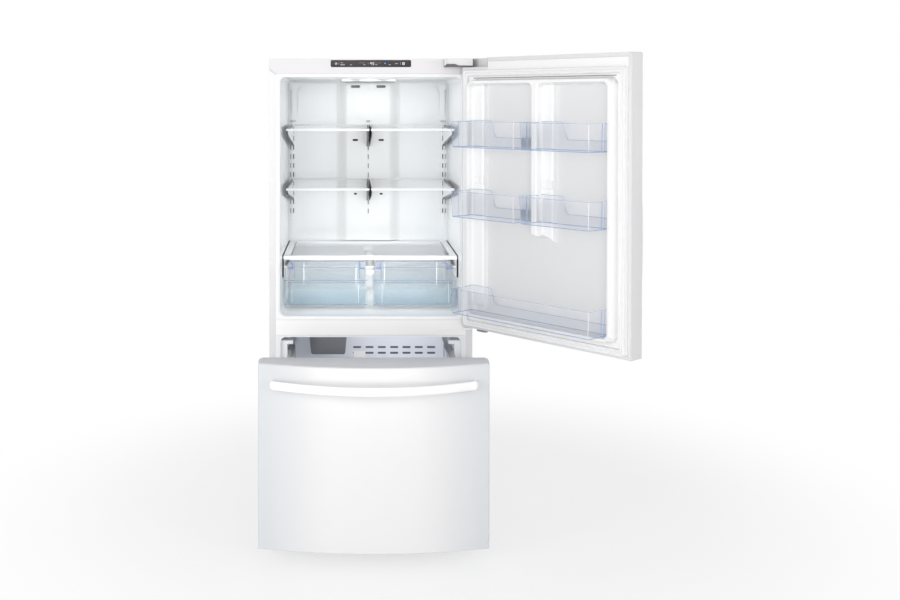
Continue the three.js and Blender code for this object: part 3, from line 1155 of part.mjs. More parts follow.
piece('crisper_left', crisper().mirror([1, 0, 0]), clearBlue, refrigerator);

// The origin goes to the middle of the footprint, on the floor.
refrigerator.updateMatrixWorld(true);
const bounds = new THREE.Box3().setFromObject(refrigerator, true);
const footprint = bounds.getCenter(new THREE.Vector3());
refrigerator.position.set(-footprint.x, -footprint.y, 0);
refrigerator.updateMatrixWorld(true);

export default refrigerator;
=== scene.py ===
"""Bottom freezer refrigerator: white steel case, hinged upper door standing open, freezer drawer
pulled out. Lengths written here are millimetres from the middle of the cabinet (x), its front
face (y, to the back) and the floor (z); every piece is turned into the frame's metres."""
import json
import math

import bmesh
import bpy
import numpy as np
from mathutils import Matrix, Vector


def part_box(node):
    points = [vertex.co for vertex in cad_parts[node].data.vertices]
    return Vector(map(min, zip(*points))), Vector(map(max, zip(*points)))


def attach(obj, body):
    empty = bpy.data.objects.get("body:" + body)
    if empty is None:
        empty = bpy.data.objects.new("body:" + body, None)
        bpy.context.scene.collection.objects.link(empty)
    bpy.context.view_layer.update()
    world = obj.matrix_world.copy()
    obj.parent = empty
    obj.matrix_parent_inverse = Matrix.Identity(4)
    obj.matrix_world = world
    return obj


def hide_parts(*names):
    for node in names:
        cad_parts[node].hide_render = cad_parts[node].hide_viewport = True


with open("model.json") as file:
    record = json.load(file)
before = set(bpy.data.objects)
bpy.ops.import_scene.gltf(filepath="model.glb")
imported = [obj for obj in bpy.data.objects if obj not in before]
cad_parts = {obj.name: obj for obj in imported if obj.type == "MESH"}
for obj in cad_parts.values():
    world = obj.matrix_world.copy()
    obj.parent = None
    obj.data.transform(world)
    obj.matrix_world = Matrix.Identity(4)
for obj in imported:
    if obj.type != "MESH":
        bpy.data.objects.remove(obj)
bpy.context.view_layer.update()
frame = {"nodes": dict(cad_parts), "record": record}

# ---------------------------------------------------------------------------------------------
# Outer case. One sheet of 0.8 mm steel is folded over both sides and the top, returned inwards
# round the front, and powder coated in gloss white over a fine orange peel.
case_low, case_high = (np.array(corner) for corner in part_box("outer_case"))
MIDDLE = np.array([(case_low[0] + case_high[0]) / 2, case_low[1], 0.0])
CASE_HALF = (case_high[0] - case_low[0]) * 500
CASE_TOP = case_high[2] * 1000
CASE_DEPTH = (case_high[1] - case_low[1]) * 1000


def in_cabinet(points):
    """Cabinet millimetres to frame metres: the middle of the case front plus a thousandth."""
    return MIDDLE + np.asarray(points, float) * 0.001


class Value:
    """A socket of a node. Arithmetic on it adds the Math nodes that work it out."""

    def __init__(self, finish, socket):
        self.finish = finish
        self.socket = socket

    def math(self, operation, *inputs):
        return self.finish.node("ShaderNodeMath", {"operation": operation}, inputs)

    def __add__(self, other):
        return self.math("ADD", self, other)

    def __radd__(self, other):
        return self.math("ADD", other, self)

    def __sub__(self, other):
        return self.math("SUBTRACT", self, other)

    def __rsub__(self, other):
        return self.math("SUBTRACT", other, self)

    def __mul__(self, other):
        return self.math("MULTIPLY", self, other)

    def __abs__(self):
        return self.math("ABSOLUTE", self)

    def rise(self, start, end):
        """0 up to start, 1 from end on, and an even S between them."""
        return self.finish.node("ShaderNodeMapRange", {"interpolation_type": "SMOOTHSTEP"},
                                {"Value": self, "From Min": start, "From Max": end})


class Finish:
    """One material. Its nodes are made by node(), and its shader's sockets are set by name."""

    def __init__(self, name):
        self.material = bpy.data.materials.new(name)
        self.material.use_nodes = True
        self.tree = self.material.node_tree
        self.shader = self.tree.nodes["Principled BSDF"]

    def put(self, socket, value):
        if isinstance(value, Value):
            self.tree.links.new(value.socket, socket)
        else:
            socket.default_value = value

    def node(self, kind, settings=None, inputs=(), output=0):
        made = self.tree.nodes.new(kind)
        for key, value in (settings or {}).items():
            setattr(made, key, value)
        for key, value in inputs.items() if isinstance(inputs, dict) else enumerate(inputs):
            self.put(made.inputs[key], value)
        return Value(self, made.outputs[output])

    def shade(self, **values):
        for key, value in values.items():
            self.put(self.shader.inputs[key.replace("_", " ")], value)
        return self.material

    def place(self):
        """Object coordinates, which are frame metres."""
        return self.node("ShaderNodeTexCoord", output="Object")

    def axis(self, which):
        return self.node("ShaderNodeSeparateXYZ", {}, [self.place()], output=which)

    def noise(self, scale, detail=3.0, stretch=(1, 1, 1)):
        where = self.node("ShaderNodeMapping", {}, {"Vector": self.place(), "Scale": stretch})
        return self.node("ShaderNodeTexNoise", {},
                         {"Vector": where, "Scale": scale, "Detail": detail})

    def blend(self, factor, low, high):
        """low where the factor is 0 and high where it is 1."""
        return self.node("ShaderNodeMix", {"data_type": "RGBA"}, {0: factor, 6: low, 7: high}, 2)

    def bump(self, height, distance, strength=1.0, normal=None):
        inputs = {"Height": height, "Distance": distance, "Strength": strength}
        if normal is not None:
            inputs["Normal"] = normal
        return self.node("ShaderNodeBump", {}, inputs)

    def soft_edge(self, radius):
        """Normal of the surface with its corners rounded to a radius in metres."""
        return self.node("ShaderNodeBevel", {"samples": 6}, {"Radius": radius})


WHITE = (1, 1, 1, 1)


def colour(code, share=1.0):
    """Linear colour of a hex display colour, times a share."""
    parts = np.array([int(code[i:i + 2], 16) for i in (1, 3, 5)]) / 255
    linear = np.where(parts <= 0.04045, parts / 12.92, ((parts + 0.055) / 1.055) ** 2.4)
    return (*(share * linear).tolist(), 1.0)


def dress(material, *nodes):
    """Gives frame nodes this material."""
    for node in nodes:
        shown = frame["nodes"][node]
        shown.data.materials.clear()
        shown.data.materials.append(material)


CLOUD_SCALE, PEEL_SCALE = 2.3, 260.0


def white_coat(name, low, high, roughness, edge=0.0012, coat=0.35, peel=0.00002):
    """Gloss paint or moulded gloss plastic: a faint broad cloud in its colour and roughness, and
    an orange peel of low bumps over rounded edges."""
    finish = Finish(name)
    cloud = finish.noise(CLOUD_SCALE, 2.0)
    grain = finish.noise(PEEL_SCALE, 2.0)
    return finish.shade(
        Base_Color=finish.blend(cloud, colour(low), colour(high)),
        Roughness=cloud * 0.05 + (roughness - 0.025),
        Coat_Weight=coat, Coat_Roughness=0.06,
        Normal=finish.bump(grain, peel, 0.5, finish.soft_edge(edge)))


case_white = white_coat("case_white", "#dcdcdd", "#e1e1e2", 0.26)
dress(case_white, "outer_case")
# The mullion cover and middle hinge take a lighter white than the case paint, which makes up for
# the shade of the pulled-out drawer: painted light.
dress(white_coat("mullion_white_lightened", "#f8f7f7", "#fdfcfc", 0.3), "mullion_cover", "middle_hinge")

# ---------------------------------------------------------------------------------------------
# Header. A moulded white panel is clipped over the front of the top, mitred into the case sides.
# A cover of the same plastic hides the arm of the top hinge.
header_white = white_coat("header_white", "#d5d3d5", "#dad8da", 0.3, peel=0.00001)
dress(header_white, "header_panel", "top_hinge_cover")


def rectangle(x0, x1, y0, y1, radius, arc=6, steps=1, inset=0):
    """Closed outline of a rectangle, drawn in by the inset, whose corners are quarter circles:
    corner centre plus radius times (cosine, sine). Each side is cut into that many steps."""
    x0, x1, y0, y1 = x0 + inset, x1 - inset, y0 + inset, y1 - inset
    radius = max(min(radius, (x1 - x0) / 2 - 0.01, (y1 - y0) / 2 - 0.01), 0.01)
    turn = np.linspace(0, np.pi / 2, arc + 1)
    centres = [(x1 - radius, y1 - radius), (x0 + radius, y1 - radius),
               (x0 + radius, y0 + radius), (x1 - radius, y0 + radius)]
    parts = []
    for i, (a, b) in enumerate(centres):
        corner = np.column_stack([a + radius * np.cos(turn + i * np.pi / 2),
                                  b + radius * np.sin(turn + i * np.pi / 2)])
        heading = np.array([math.cos((i + 1) * math.pi / 2), math.sin((i + 1) * math.pi / 2)])
        following = np.array(centres[(i + 1) % 4]) + radius * heading
        share = np.linspace(0, 1, steps + 1)[1:-1, None]
        parts += [corner, corner[-1] + (following - corner[-1]) * share]
    return np.concatenate(parts)


PLANES = {"xy": (0, 1, 2), "xz": (0, 2, 1), "yz": (2, 0, 1)}


def stacked(rows, plane="xz"):
    """Grid of points from (outline, height) rows: the outline lies in the plane named, and the
    height, one for the row or one for each point, runs along the axis that is left."""
    grid = [np.column_stack([outline, np.broadcast_to(height, len(outline))])
            for outline, height in rows]
    return np.array(grid)[:, :, PLANES[plane]]


# How points reach frame metres on a body that stands open, by the body; others take in_cabinet.
MOVES = {}


def mesh_piece(name, grids, material, body, stands_for=(), ring=False, sharp=35,
               move=None):
    """Object from one grid of points or a list of them, rows by columns. Neighbours are joined
    into quads, and each row is closed on itself. ring joins the last row to the first; without
    it a flat face closes each of them. move takes the points to frame metres."""
    move = move or MOVES.get(body, in_cabinet)
    vertices, faces, start = [], [], 0
    for grid in grids if isinstance(grids, list) else [grids]:
        rows, columns = grid.shape[:2]
        index = start + np.arange(rows * columns).reshape(rows, columns)
        low = index if ring else index[:-1]
        high = np.roll(index, -1, axis=0) if ring else index[1:]
        quads = np.stack([low, np.roll(low, -1, 1), np.roll(high, -1, 1), high], -1)
        faces += quads.reshape(-1, 4).tolist()
        if not ring:
            faces += [index[0][::-1].tolist(), index[-1].tolist()]
        vertices.append(move(grid.reshape(-1, 3)))
        start += rows * columns
    mesh = bpy.data.meshes.new(name)
    mesh.from_pydata(np.concatenate(vertices), [], faces)
    return finished(name, mesh, material, body, stands_for, sharp)


def finished(name, mesh, material, body, stands_for, sharp):
    """Object of a mesh, its points merged and its faces turned outwards, told to the frame."""
    work = bmesh.new()
    work.from_mesh(mesh)
    bmesh.ops.remove_doubles(work, verts=work.verts, dist=1e-6)
    bmesh.ops.recalc_face_normals(work, faces=work.faces)
    work.to_mesh(mesh)
    work.free()
    mesh.shade_smooth()
    mesh.set_sharp_from_angle(angle=math.radians(sharp))
    mesh.materials.append(material)
    piece = bpy.data.objects.new(name, mesh)
    bpy.context.scene.collection.objects.link(piece)
    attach(piece, body)
    if stands_for:
        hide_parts(*stands_for)
    return piece


def slab(x0, x1, y0, y1, z0, z1, radius=0.01, edge=0.3, plane="xz", arc=5):
    """Solid slab with rounded outline corners. Its edges are quarter rounds: the outline is
    drawn in by edge times (1 - sine) while the height comes to the face by (1 - cosine)."""
    spans = {"xz": (x0, x1, z0, z1, y0, y1), "xy": (x0, x1, y0, y1, z0, z1)}
    a0, a1, b0, b1, h0, h1 = spans[plane]
    turn = np.linspace(0, np.pi / 2, 4)
    inset, step = edge * (1 - np.sin(turn)), edge * (1 - np.cos(turn))
    rows = [*zip(inset, h0 + step), *zip(inset[::-1], h1 - step[::-1])]
    return stacked([(rectangle(a0, a1, b0, b1, radius - d, arc, inset=d), h) for d, h in rows],
                   plane)


def centred(x, half, *rest, **how):
    """Slab that reaches half to each side of x."""
    return slab(x - half, x + half, *rest, **how)


def pair(x, half, *rest, **how):
    """Two such slabs, at x to the left and to the right of the middle."""
    return [centred(side * x, half, *rest, **how) for side in (-1, 1)]


# ---------------------------------------------------------------------------------------------
# Control strip. A dark smoked acrylic window lies flush in the header. Behind it are small white
# marks, two plain digits and a blue lamp. It is held by double-sided tape.
STRIP_HALF, STRIP_LOW, STRIP_HIGH = 148, CASE_TOP - 30.4, CASE_TOP - 4.6
STRIP_Y, STRIP_MIDDLE = -0.25, (STRIP_LOW + STRIP_HIGH) / 2
smoked = Finish("smoked_window")
# The window's colour lightens towards its top: painted light.
smoked.shade(
    Base_Color=smoked.blend(smoked.axis("Z").rise(STRIP_LOW * 0.001, STRIP_HIGH * 0.001),
                            colour("#393436"), colour("#443f41")),
    Roughness=smoked.noise(40.0) * 0.04 + 0.3, Specular_IOR_Level=0.2,
    Normal=smoked.soft_edge(0.0006))
mesh_piece("control_window",
           centred(0, STRIP_HALF, STRIP_Y, 2.1, STRIP_LOW, STRIP_HIGH, 5, 0.4),
           smoked.material, "cabinet", ("control_panel",))


def mark_finish(name, code, strength):
    """Mark lit from behind: its colour, slightly uneven, which also glows a little."""
    finish = Finish(name)
    shine = finish.blend(finish.noise(900.0), colour(code, 0.9), colour(code))
    return finish.shade(Base_Color=shine, Emission_Color=shine, Emission_Strength=strength,
                        Roughness=0.4)


def bars(rows, depth=0.18):
    """Flat raised bars on the strip: each row is x, z from the strip's middle, width, height."""
    return [centred(x, w / 2, STRIP_Y - depth, STRIP_Y + 0.05, STRIP_MIDDLE + z - h / 2,
                    STRIP_MIDDLE + z + h / 2, min(w, h) * 0.3, 0.04, arc=2)
            for x, z, w, h in rows]


def digit(x, lit):
    """Seven-bar digit, 6 wide and 10 tall, leaning to the right. lit names its bars."""
    lying, upright = (4.4, 1.2), (1.2, 3.8)
    places = {"a": (0, 4.6, *lying), "d": (0, -4.6, *lying), "g": (0, 0, *lying),
              "f": (-2.6, 2.3, *upright), "b": (2.6, 2.3, *upright),
              "e": (-2.6, -2.3, *upright), "c": (2.6, -2.3, *upright)}
    return [(x + a + b * 0.12, b, w, h) for a, b, w, h in (places[k] for k in lit)]


# Each mark: x and z from the strip's middle, width, height.
snow = [(-128 + 3.6 * math.cos(t), 3.6 * math.sin(t), 1.6, 1.6)
        for t in np.arange(6) * math.pi / 3] + [(-128, 0, 2.6, 2.6)]
frost = [(120, 3.6, 8, 1.3), (116.6, 0, 1.3, 8), (123.4, 0, 1.3, 8), (120, -3.8, 8, 1.3),
         (120, 0, 2.4, 2.4)]
dashes = [(-107, 3.2, 9, 1.5), (-104, -2.6, 16, 1.5), (-104, -5.2, 16, 1.5),
          (-73, -4.2, 8, 1.7), (-24, -4.2, 9, 1.7), (20, -4.2, 9, 1.7), (69, -4.2, 8, 1.7),
          (94, 0.0, 10, 2.0), (-118, 0, 0.9, 9), (-10, 0, 0.9, 6), (109, 0, 0.9, 9)]
dashes += [(x, 2.4, 1.7, 1.7) for x in (-40, -35, -30, -25, 16, 21, 26, 31, 36)]
mesh_piece("control_marks", bars(digit(0, "abcfg") + digit(9, "acdfg") + snow + frost),
           mark_finish("control_marks_white", "#efeef0", 0.35), "cabinet")
mesh_piece("control_dashes", bars(dashes), mark_finish("control_marks_grey", "#b2afb2", 0.15),
           "cabinet")
mesh_piece("control_lamp", bars([(52, 1, 4.2, 3.6)], 0.3),
           mark_finish("control_lamp_blue", "#5b8df2", 1.0), "cabinet")

# ---------------------------------------------------------------------------------------------
# Fridge liner. One sheet of white polystyrene is drawn into a deep tub with round corners. Two
# upright beads stiffen each rear corner and flare out at their tops.
LINER_HALF, LINER_WALL, LINER_CORNER = CASE_HALF - 41, 2, 20
FACE_HALF = CASE_HALF - 23.3
FRIDGE_LOW, FRIDGE_HIGH, FRIDGE_DEPTH = 694, 1576, CASE_DEPTH - 70
HEADER_LOW, MULLION_TOP, MULLION_LOW = CASE_TOP - 56, 679.5, 623.5


def liner_finish(name, near, far, depth, roughness):
    """Drawn polystyrene with faint upright flow lines. Its colour darkens and cools from near to
    far towards the back: painted shade deep in the compartment.
    """
    finish = Finish(name)
    painted_depth_shade = finish.axis("Y").rise(MIDDLE[1], MIDDLE[1] + depth * 0.001)
    flow = finish.noise(9.0, 3.0, (14, 1, 0.5))
    base = finish.blend(painted_depth_shade, colour(near), colour(far))
    return finish.shade(
        Base_Color=finish.blend(flow * 0.2, base, WHITE),
        Roughness=flow * 0.06 + roughness, Coat_Weight=0.2, Coat_Roughness=0.05,
        Normal=finish.bump(flow, 0.0006, 0.35))


fridge_white = liner_finish("fridge_liner_white", "#f2f3f4", "#eceff1", FRIDGE_DEPTH, 0.16)


def tub(low, high, depth, face, rim=9, foot=16):
    """Tub of a liner as one closed wall. The path runs from the back's inside, round the rear
    corner on a quarter circle, forwards, over the front rim on another, along the flange and
    back again outside. An inset moves all four sides of the outline in."""
    def at(inset, y):
        radius = LINER_CORNER - inset * 0.6
        return (rectangle(-LINER_HALF, LINER_HALF, low, high, radius, 8, inset=inset), y)

    def flange(inset, y):
        return (rectangle(-FACE_HALF, FACE_HALF, *face, 1.2, 8, inset=inset), y)

    turn = np.linspace(0, math.pi / 2, 8)
    back = [at(foot * (1 - math.sin(t)), depth - foot * (1 - math.cos(t))) for t in turn]
    front = [at(-rim * (1 - math.cos(t)), rim * (1 - math.sin(t))) for t in turn]
    outside = [flange(0.4, -0.2), flange(0, 0), flange(0, LINER_WALL),
               at(-LINER_WALL - 0.2, LINER_WALL), at(-LINER_WALL, rim + 4),
               at(-LINER_WALL, depth - foot), at(-LINER_WALL + 3, depth + LINER_WALL)]
    return stacked([at(foot + 60, depth)] + back + front + outside, "xz")


mesh_piece("fridge_liner_tub",
           tub(FRIDGE_LOW, FRIDGE_HIGH, FRIDGE_DEPTH, (MULLION_TOP + 0.3, HEADER_LOW - 0.3)),
           fridge_white, "cabinet", ("fridge_liner",))


def swept(path, radius, squash=(1, 1), sides=12, up=(0, 0, 1), closed=False):
    """Tube of elliptic section along a path: each ring is the point plus radius times cosine
    along the side vector and sine along the upper one, both square to the path. radius is one
    number or one for each point."""
    path = np.asarray(path, float)
    radius = np.broadcast_to(radius, (len(path),))
    along = (np.roll(path, -1, 0) - np.roll(path, 1, 0) if closed
             else np.gradient(path, axis=0))
    along /= np.linalg.norm(along, axis=1)[:, None]
    side = np.cross(along, up)
    side /= np.linalg.norm(side, axis=1)[:, None]
    over = np.cross(side, along)
    turn = np.linspace(0, 2 * np.pi, sides, endpoint=False)
    ring = (np.cos(turn)[None, :, None] * side[:, None] * squash[0]
            + np.sin(turn)[None, :, None] * over[:, None] * squash[1])
    return path[:, None] + ring * radius[:, None, None]


def bead_line(x, lean, y, low=1425, bend=1528, flare=24):
    """Line of a stiffening bead: upright, then most of a quarter circle leaning out on top."""
    rise = np.linspace(low, bend, 8)
    turn = np.linspace(0, np.pi / 2 * 0.8, 9)[1:]
    upright = np.column_stack([np.full(8, x), np.full(8, y), rise])
    over = np.column_stack([x + lean * flare * (1 - np.cos(turn)), np.full(8, y),
                            bend + flare * np.sin(turn)])
    return np.concatenate([upright, over])


def seam(points, y=0.1, radius=0.45):
    """Thin line along points in x and z, half sunk in a face at y."""
    path = np.array([(x, y, z) for x, z in points], float)
    along = np.arange(len(path))
    even = np.linspace(0, len(path) - 1, 8 * len(path))
    path = np.column_stack([np.interp(even, along, path[:, k]) for k in range(3)])
    return swept(path, radius, sides=6, up=(0, 1, 0))


def line_finish(name, code):
    """Thin dark line in one tone, broken up a little: a gap between two panels, and on the door the
    groove's painted shadow.
    """
    finish = Finish(name)
    speck = finish.noise(40.0)
    return finish.shade(Base_Color=finish.blend(speck, colour(code, 0.9), colour(code)),
                        Roughness=speck * 0.1 + 0.5)


mesh_piece("header_seams",
           [seam([(-CASE_HALF + 1, HEADER_LOW + 20), (-FACE_HALF, HEADER_LOW)]),
            seam([(-FACE_HALF, HEADER_LOW), (FACE_HALF, HEADER_LOW)], 0.45, 0.8)],
           line_finish("seam_grey", "#a19d9f"), "cabinet", sharp=60)
mesh_piece("front_seams",
           [seam([(-FACE_HALF, z), (FACE_HALF, z)]) for z in (MULLION_TOP, MULLION_LOW)]
           + [seam([(side * FACE_HALF, 70), (side * FACE_HALF, HEADER_LOW - 1)])
              for side in (-1, 1)],
           line_finish("seam_pale", "#cfcdcf"), "cabinet", sharp=60)
BEAD_IN, BEAD_OUT, BEAD_RADIUS = 297, 322, 3.4
beads = []
fade = np.minimum(np.linspace(0.2, 4.5, 16), np.linspace(5, 0.4, 16)).clip(0.2, 1)
for side in (-1, 1):
    inner = bead_line(side * BEAD_IN, -side, FRIDGE_DEPTH - 0.6)
    outer = bead_line(side * BEAD_OUT, side, FRIDGE_DEPTH - 5, flare=9)
    outer[:, 1] -= (np.abs(outer[:, 0]) - BEAD_OUT) * 1.4
    beads += [swept(line, BEAD_RADIUS * fade, squash, 10, (0, 1, 0))
              for line, squash in ((inner, (1, 0.7)), (outer, (0.8, 1)))]
mesh_piece("fridge_corner_beads", beads, fridge_white, "cabinet", sharp=60)

# ---------------------------------------------------------------------------------------------
# Air duct cover. A shallow moulded shell is screwed to the back wall. It blows cold air through
# two oval vents above and small slots lower down. The middle shelf ladder is pressed into it.
DUCT_HALF, DUCT_FLAT, DUCT_RAISE = 130, 88, 23
DUCT_LOW, DUCT_TOP = 903, 1568
DUCT_FACE = FRIDGE_DEPTH - DUCT_RAISE
VENT_X, VENT_Z, VENT_WIDE, VENT_TALL = 53.5, 1549, 41, 12.6
OUTLET_X, OUTLET_HIGH, OUTLET_LOW, GRILLE_Z = 54, 1324.5, 1098.3, 1533
LADDER_LOW, LADDER_TOP, SLOT_TALL, SLOT_PITCH = 990, 1402.5, 20, 38.1
slot_middles = LADDER_TOP - 34 - SLOT_PITCH * np.arange(10)
# Each hole: middle x, middle z, width, height.
duct_holes = [(side * x, z, w, h) for side in (-1, 1) for x, z, w, h in
              ((VENT_X, VENT_Z, VENT_WIDE, VENT_TALL), (OUTLET_X, OUTLET_HIGH, 23, 8.4),
               (OUTLET_X, OUTLET_LOW, 13, 7.5))]
duct_holes += [(0, z, 4, SLOT_TALL) for z in slot_middles]
duct_white = white_coat("duct_white", "#f3f4f4", "#f7f8f8", 0.28, edge=0.0015, coat=0.25)


def smooth(t):
    """Smoothstep: 3 t squared less 2 t cubed, held between 0 and 1."""
    t = np.clip(t, 0, 1)
    return t * t * (3 - 2 * t)


def inside(x, z, x0, x1, z0, z1, radius):
    """Distance in from a rounded rectangle's edge, negative outside it: the radius less the
    length of the offset past the corner's centre, or the nearest side's distance."""
    qx = np.abs(x - (x0 + x1) / 2) - (x1 - x0) / 2 + radius
    qz = np.abs(z - (z0 + z1) / 2) - (z1 - z0) / 2 + radius
    outside = np.hypot(np.maximum(qx, 0), np.maximum(qz, 0))
    return radius - outside - np.minimum(np.maximum(qx, qz), 0)


def relief(name, x, z, height, thick, material, body, stands_for, holes=(), back=1):
    """Closed shell of the surface y = height(x, z) over grid lines x and z, and a copy thick mm
    behind it (back = 1) or ahead of it (-1). Cells whose middles lie in a hole are left out,
    and a wall stands on every free edge."""
    xs, zs = np.meshgrid(x, z)
    ys = height(xs, zs)
    near = np.stack([xs, ys, zs], -1).reshape(-1, 3)
    far = near + [0, back * thick, 0]
    index = np.arange(len(near)).reshape(xs.shape)
    quads = np.stack([index[:-1, :-1], index[:-1, 1:], index[1:, 1:], index[1:, :-1]], -1)
    keep = np.ones(quads.shape[:2], bool)
    middle_x = (xs[:-1, :-1] + xs[1:, 1:]) / 2
    middle_z = (zs[:-1, :-1] + zs[1:, 1:]) / 2
    for a, b, w, h in holes:
        keep &= inside(middle_x, middle_z, a - w / 2, a + w / 2, b - h / 2, b + h / 2,
                       min(w, h) / 2) < 0
    quads = quads[keep]
    sides = np.concatenate([quads[:, [k, (k + 1) % 4]] for k in range(4)])
    both = np.sort(sides, axis=1)
    _, first, count = np.unique(both, axis=0, return_index=True, return_counts=True)
    free = sides[first[count == 1]]
    walls = np.column_stack([free[:, ::-1], free + len(near)])
    mesh = bpy.data.meshes.new(name)
    move = MOVES.get(body, in_cabinet)
    mesh.from_pydata(move(np.concatenate([near, far])), [],
                     np.concatenate([quads, quads[:, ::-1] + len(near), walls]).tolist())
    loose = bmesh.new()
    loose.from_mesh(mesh)
    bmesh.ops.delete(loose, geom=[v for v in loose.verts if not v.link_faces], context="VERTS")
    loose.to_mesh(mesh)
    loose.free()
    return finished(name, mesh, material, body, stands_for, 45)


def duct_height(x, z):
    """The face lies forward by the raise between its flat edges. From there an S falls to the
    back wall, and the shell also rolls in over its top 12 mm."""
    across = 1 - smooth((np.abs(x) - DUCT_FLAT) / (DUCT_HALF - DUCT_FLAT))
    top = np.sqrt(np.clip(1 - ((z - DUCT_TOP + 12) / 12).clip(0, 1) ** 2, 0, 1))
    return FRIDGE_DEPTH - 2.8 - (DUCT_RAISE - 2.8) * across * (0.35 + 0.65 * top)


def hole_lines(middle, width, steps=8):
    """Grid lines across a hole."""
    return np.linspace(middle - width / 2, middle + width / 2, steps + 1)


duct_x = np.concatenate([np.linspace(-DUCT_HALF, DUCT_HALF, 53)]
                        + [hole_lines(a, w) for a, _, w, _ in duct_holes])
duct_z = np.concatenate([np.linspace(DUCT_LOW, DUCT_TOP - 12, 24),
                         DUCT_TOP - 12 + 12 * np.sin(np.linspace(0, 1.57, 7))]
                        + [hole_lines(b, h, 6) for _, b, _, h in duct_holes])
relief("duct_shell", np.unique(duct_x.round(1)), np.unique(duct_z.round(1)), duct_height, 2.5,
       duct_white, "cabinet", ("duct_cover",), holes=duct_holes)


def speckled(name, low, high, roughness=0.5, scale=120.0, depth=0.00005, strength=0.4):
    """Matt moulding, coat, foam or gap in shade: two close tones mixed by a fine noise, which
    also sways the roughness and raises low bumps."""
    finish = Finish(name)
    speck = finish.noise(scale)
    return finish.shade(Base_Color=finish.blend(speck, colour(low), colour(high)),
                        Roughness=speck * 0.1 + roughness,
                        Normal=finish.bump(speck, depth, strength))


slot_painted_shade = speckled("slot_painted_shade", "#2c2a2e", "#353338")
grey_and_painted_shade = speckled("grey_and_painted_shade", "#8b8d93", "#999ba1", 0.35)
# Dark plates behind the outlet slots are painted shade inside the duct.
mesh_piece("duct_outlet_painted_shade",
           [centred(side * OUTLET_X, 16, DUCT_FACE + 2.8, DUCT_FACE + 4, z - 8, z + 8)
            for side in (-1, 1) for z in (OUTLET_HIGH, OUTLET_LOW)],
           slot_painted_shade, "cabinet")
# The upper vents hold grey slats, and a grey strip lies behind the middle ladder's slots; their
# grey is painted shade inside the openings.
mesh_piece("duct_louvres",
           [centred(side * VENT_X, 22, DUCT_FACE + 4 + k, DUCT_FACE + 4.8 + k,
                    VENT_Z - 7 + 3.4 * k, VENT_Z - 4 + 3.4 * k, 1, 0.2)
            for side in (-1, 1) for k in range(4)]
           + [centred(0, 5, DUCT_FACE + 2.6, DUCT_FACE + 3.4, LADDER_LOW, LADDER_TOP)],
           grey_and_painted_shade, "cabinet")


def frame_ring(x, z, width, height, radius, y, section=1.1):
    """Round lip laid about a hole."""
    loop = rectangle(x - width / 2, x + width / 2, z - height / 2, z + height / 2, radius, 6, 3)
    path = np.column_stack([loop[:, 0], np.full(len(loop), y), loop[:, 1]])
    return swept(path, section, (1, 0.6), 8, (0, 1, 0), closed=True)


mesh_piece("duct_vent_lips",
           [frame_ring(side * VENT_X, VENT_Z, VENT_WIDE, VENT_TALL, 6, DUCT_FACE + 0.2)
            for side in (-1, 1)],
           duct_white, "cabinet", ring=True, sharp=60)
mesh_piece("duct_sensor_grille",
           [slab(-108, -104.5, DUCT_FACE + 9, DUCT_FACE + 13, GRILLE_Z + 4.4 * k,
                 GRILLE_Z + 2.6 + 4.4 * k, 0.8, 0.2) for k in range(5)]
           + [centred(0, 3.6, DUCT_FACE - 0.5, DUCT_FACE + 0.5, GRILLE_Z, GRILLE_Z + 19, 1, 0.3)],
           duct_white, "cabinet")

# ---------------------------------------------------------------------------------------------
# Shelf ladders. Strips of white coated steel with a row of upright slots are screwed to the back
# wall, so that the shelves hook in at any height. A second row lies on the corner of the liner.
LADDER_X, LADDER_HALF = LINER_HALF - 19.4, 7
shelf_white = white_coat("shelf_white", "#f4f5f6", "#f8f9f9", 0.3, edge=0.0008)
dress(shelf_white, "ladder_left", "ladder_right")


def shaded_slot_slabs(x, y, width, deep):
    """Slabs in two rows of slots, painted shade inside them, at x to the left and to the right."""
    return [centred(side * x, width / 2, y, y + deep, z - SLOT_TALL / 2, z + SLOT_TALL / 2, 1,
                    0.1) for side in (-1, 1) for z in slot_middles]


# Dark slabs in the ladder slots are painted shade inside them.
mesh_piece("ladder_slot_painted_shade", shaded_slot_slabs(LADDER_X, FRIDGE_DEPTH - 0.9, 4.6, 0.4), slot_painted_shade,
           "cabinet")
# The corner row's slots are filled with grey slabs as painted shade.
mesh_piece("ladder_corner_slots", shaded_slot_slabs(327, FRIDGE_DEPTH - 5, 3.6, 3), grey_and_painted_shade, "cabinet")
mesh_piece("duct_ladder",
           [slab(x, x + 3, DUCT_FACE - 1.2, DUCT_FACE + 0.5, LADDER_LOW, LADDER_TOP, 0.4, 0.4)
            for x in (-LADDER_HALF, LADDER_HALF - 3)],
           shelf_white, "cabinet")
mesh_piece("ladder_top_clips",
           [slab(side * 316 - 12, side * 316 + 11, FRIDGE_DEPTH - 6, FRIDGE_DEPTH - 1.5,
                 LADDER_TOP, LADDER_TOP + 2.6, 0.8, 0.2) for side in (-1, 1)]
           + [centred(0, 8, DUCT_FACE - 5, DUCT_FACE - 0.5, LADDER_TOP, LADDER_TOP + 3.6, 0.8,
                      0.2)],
           grey_and_painted_shade, "cabinet")

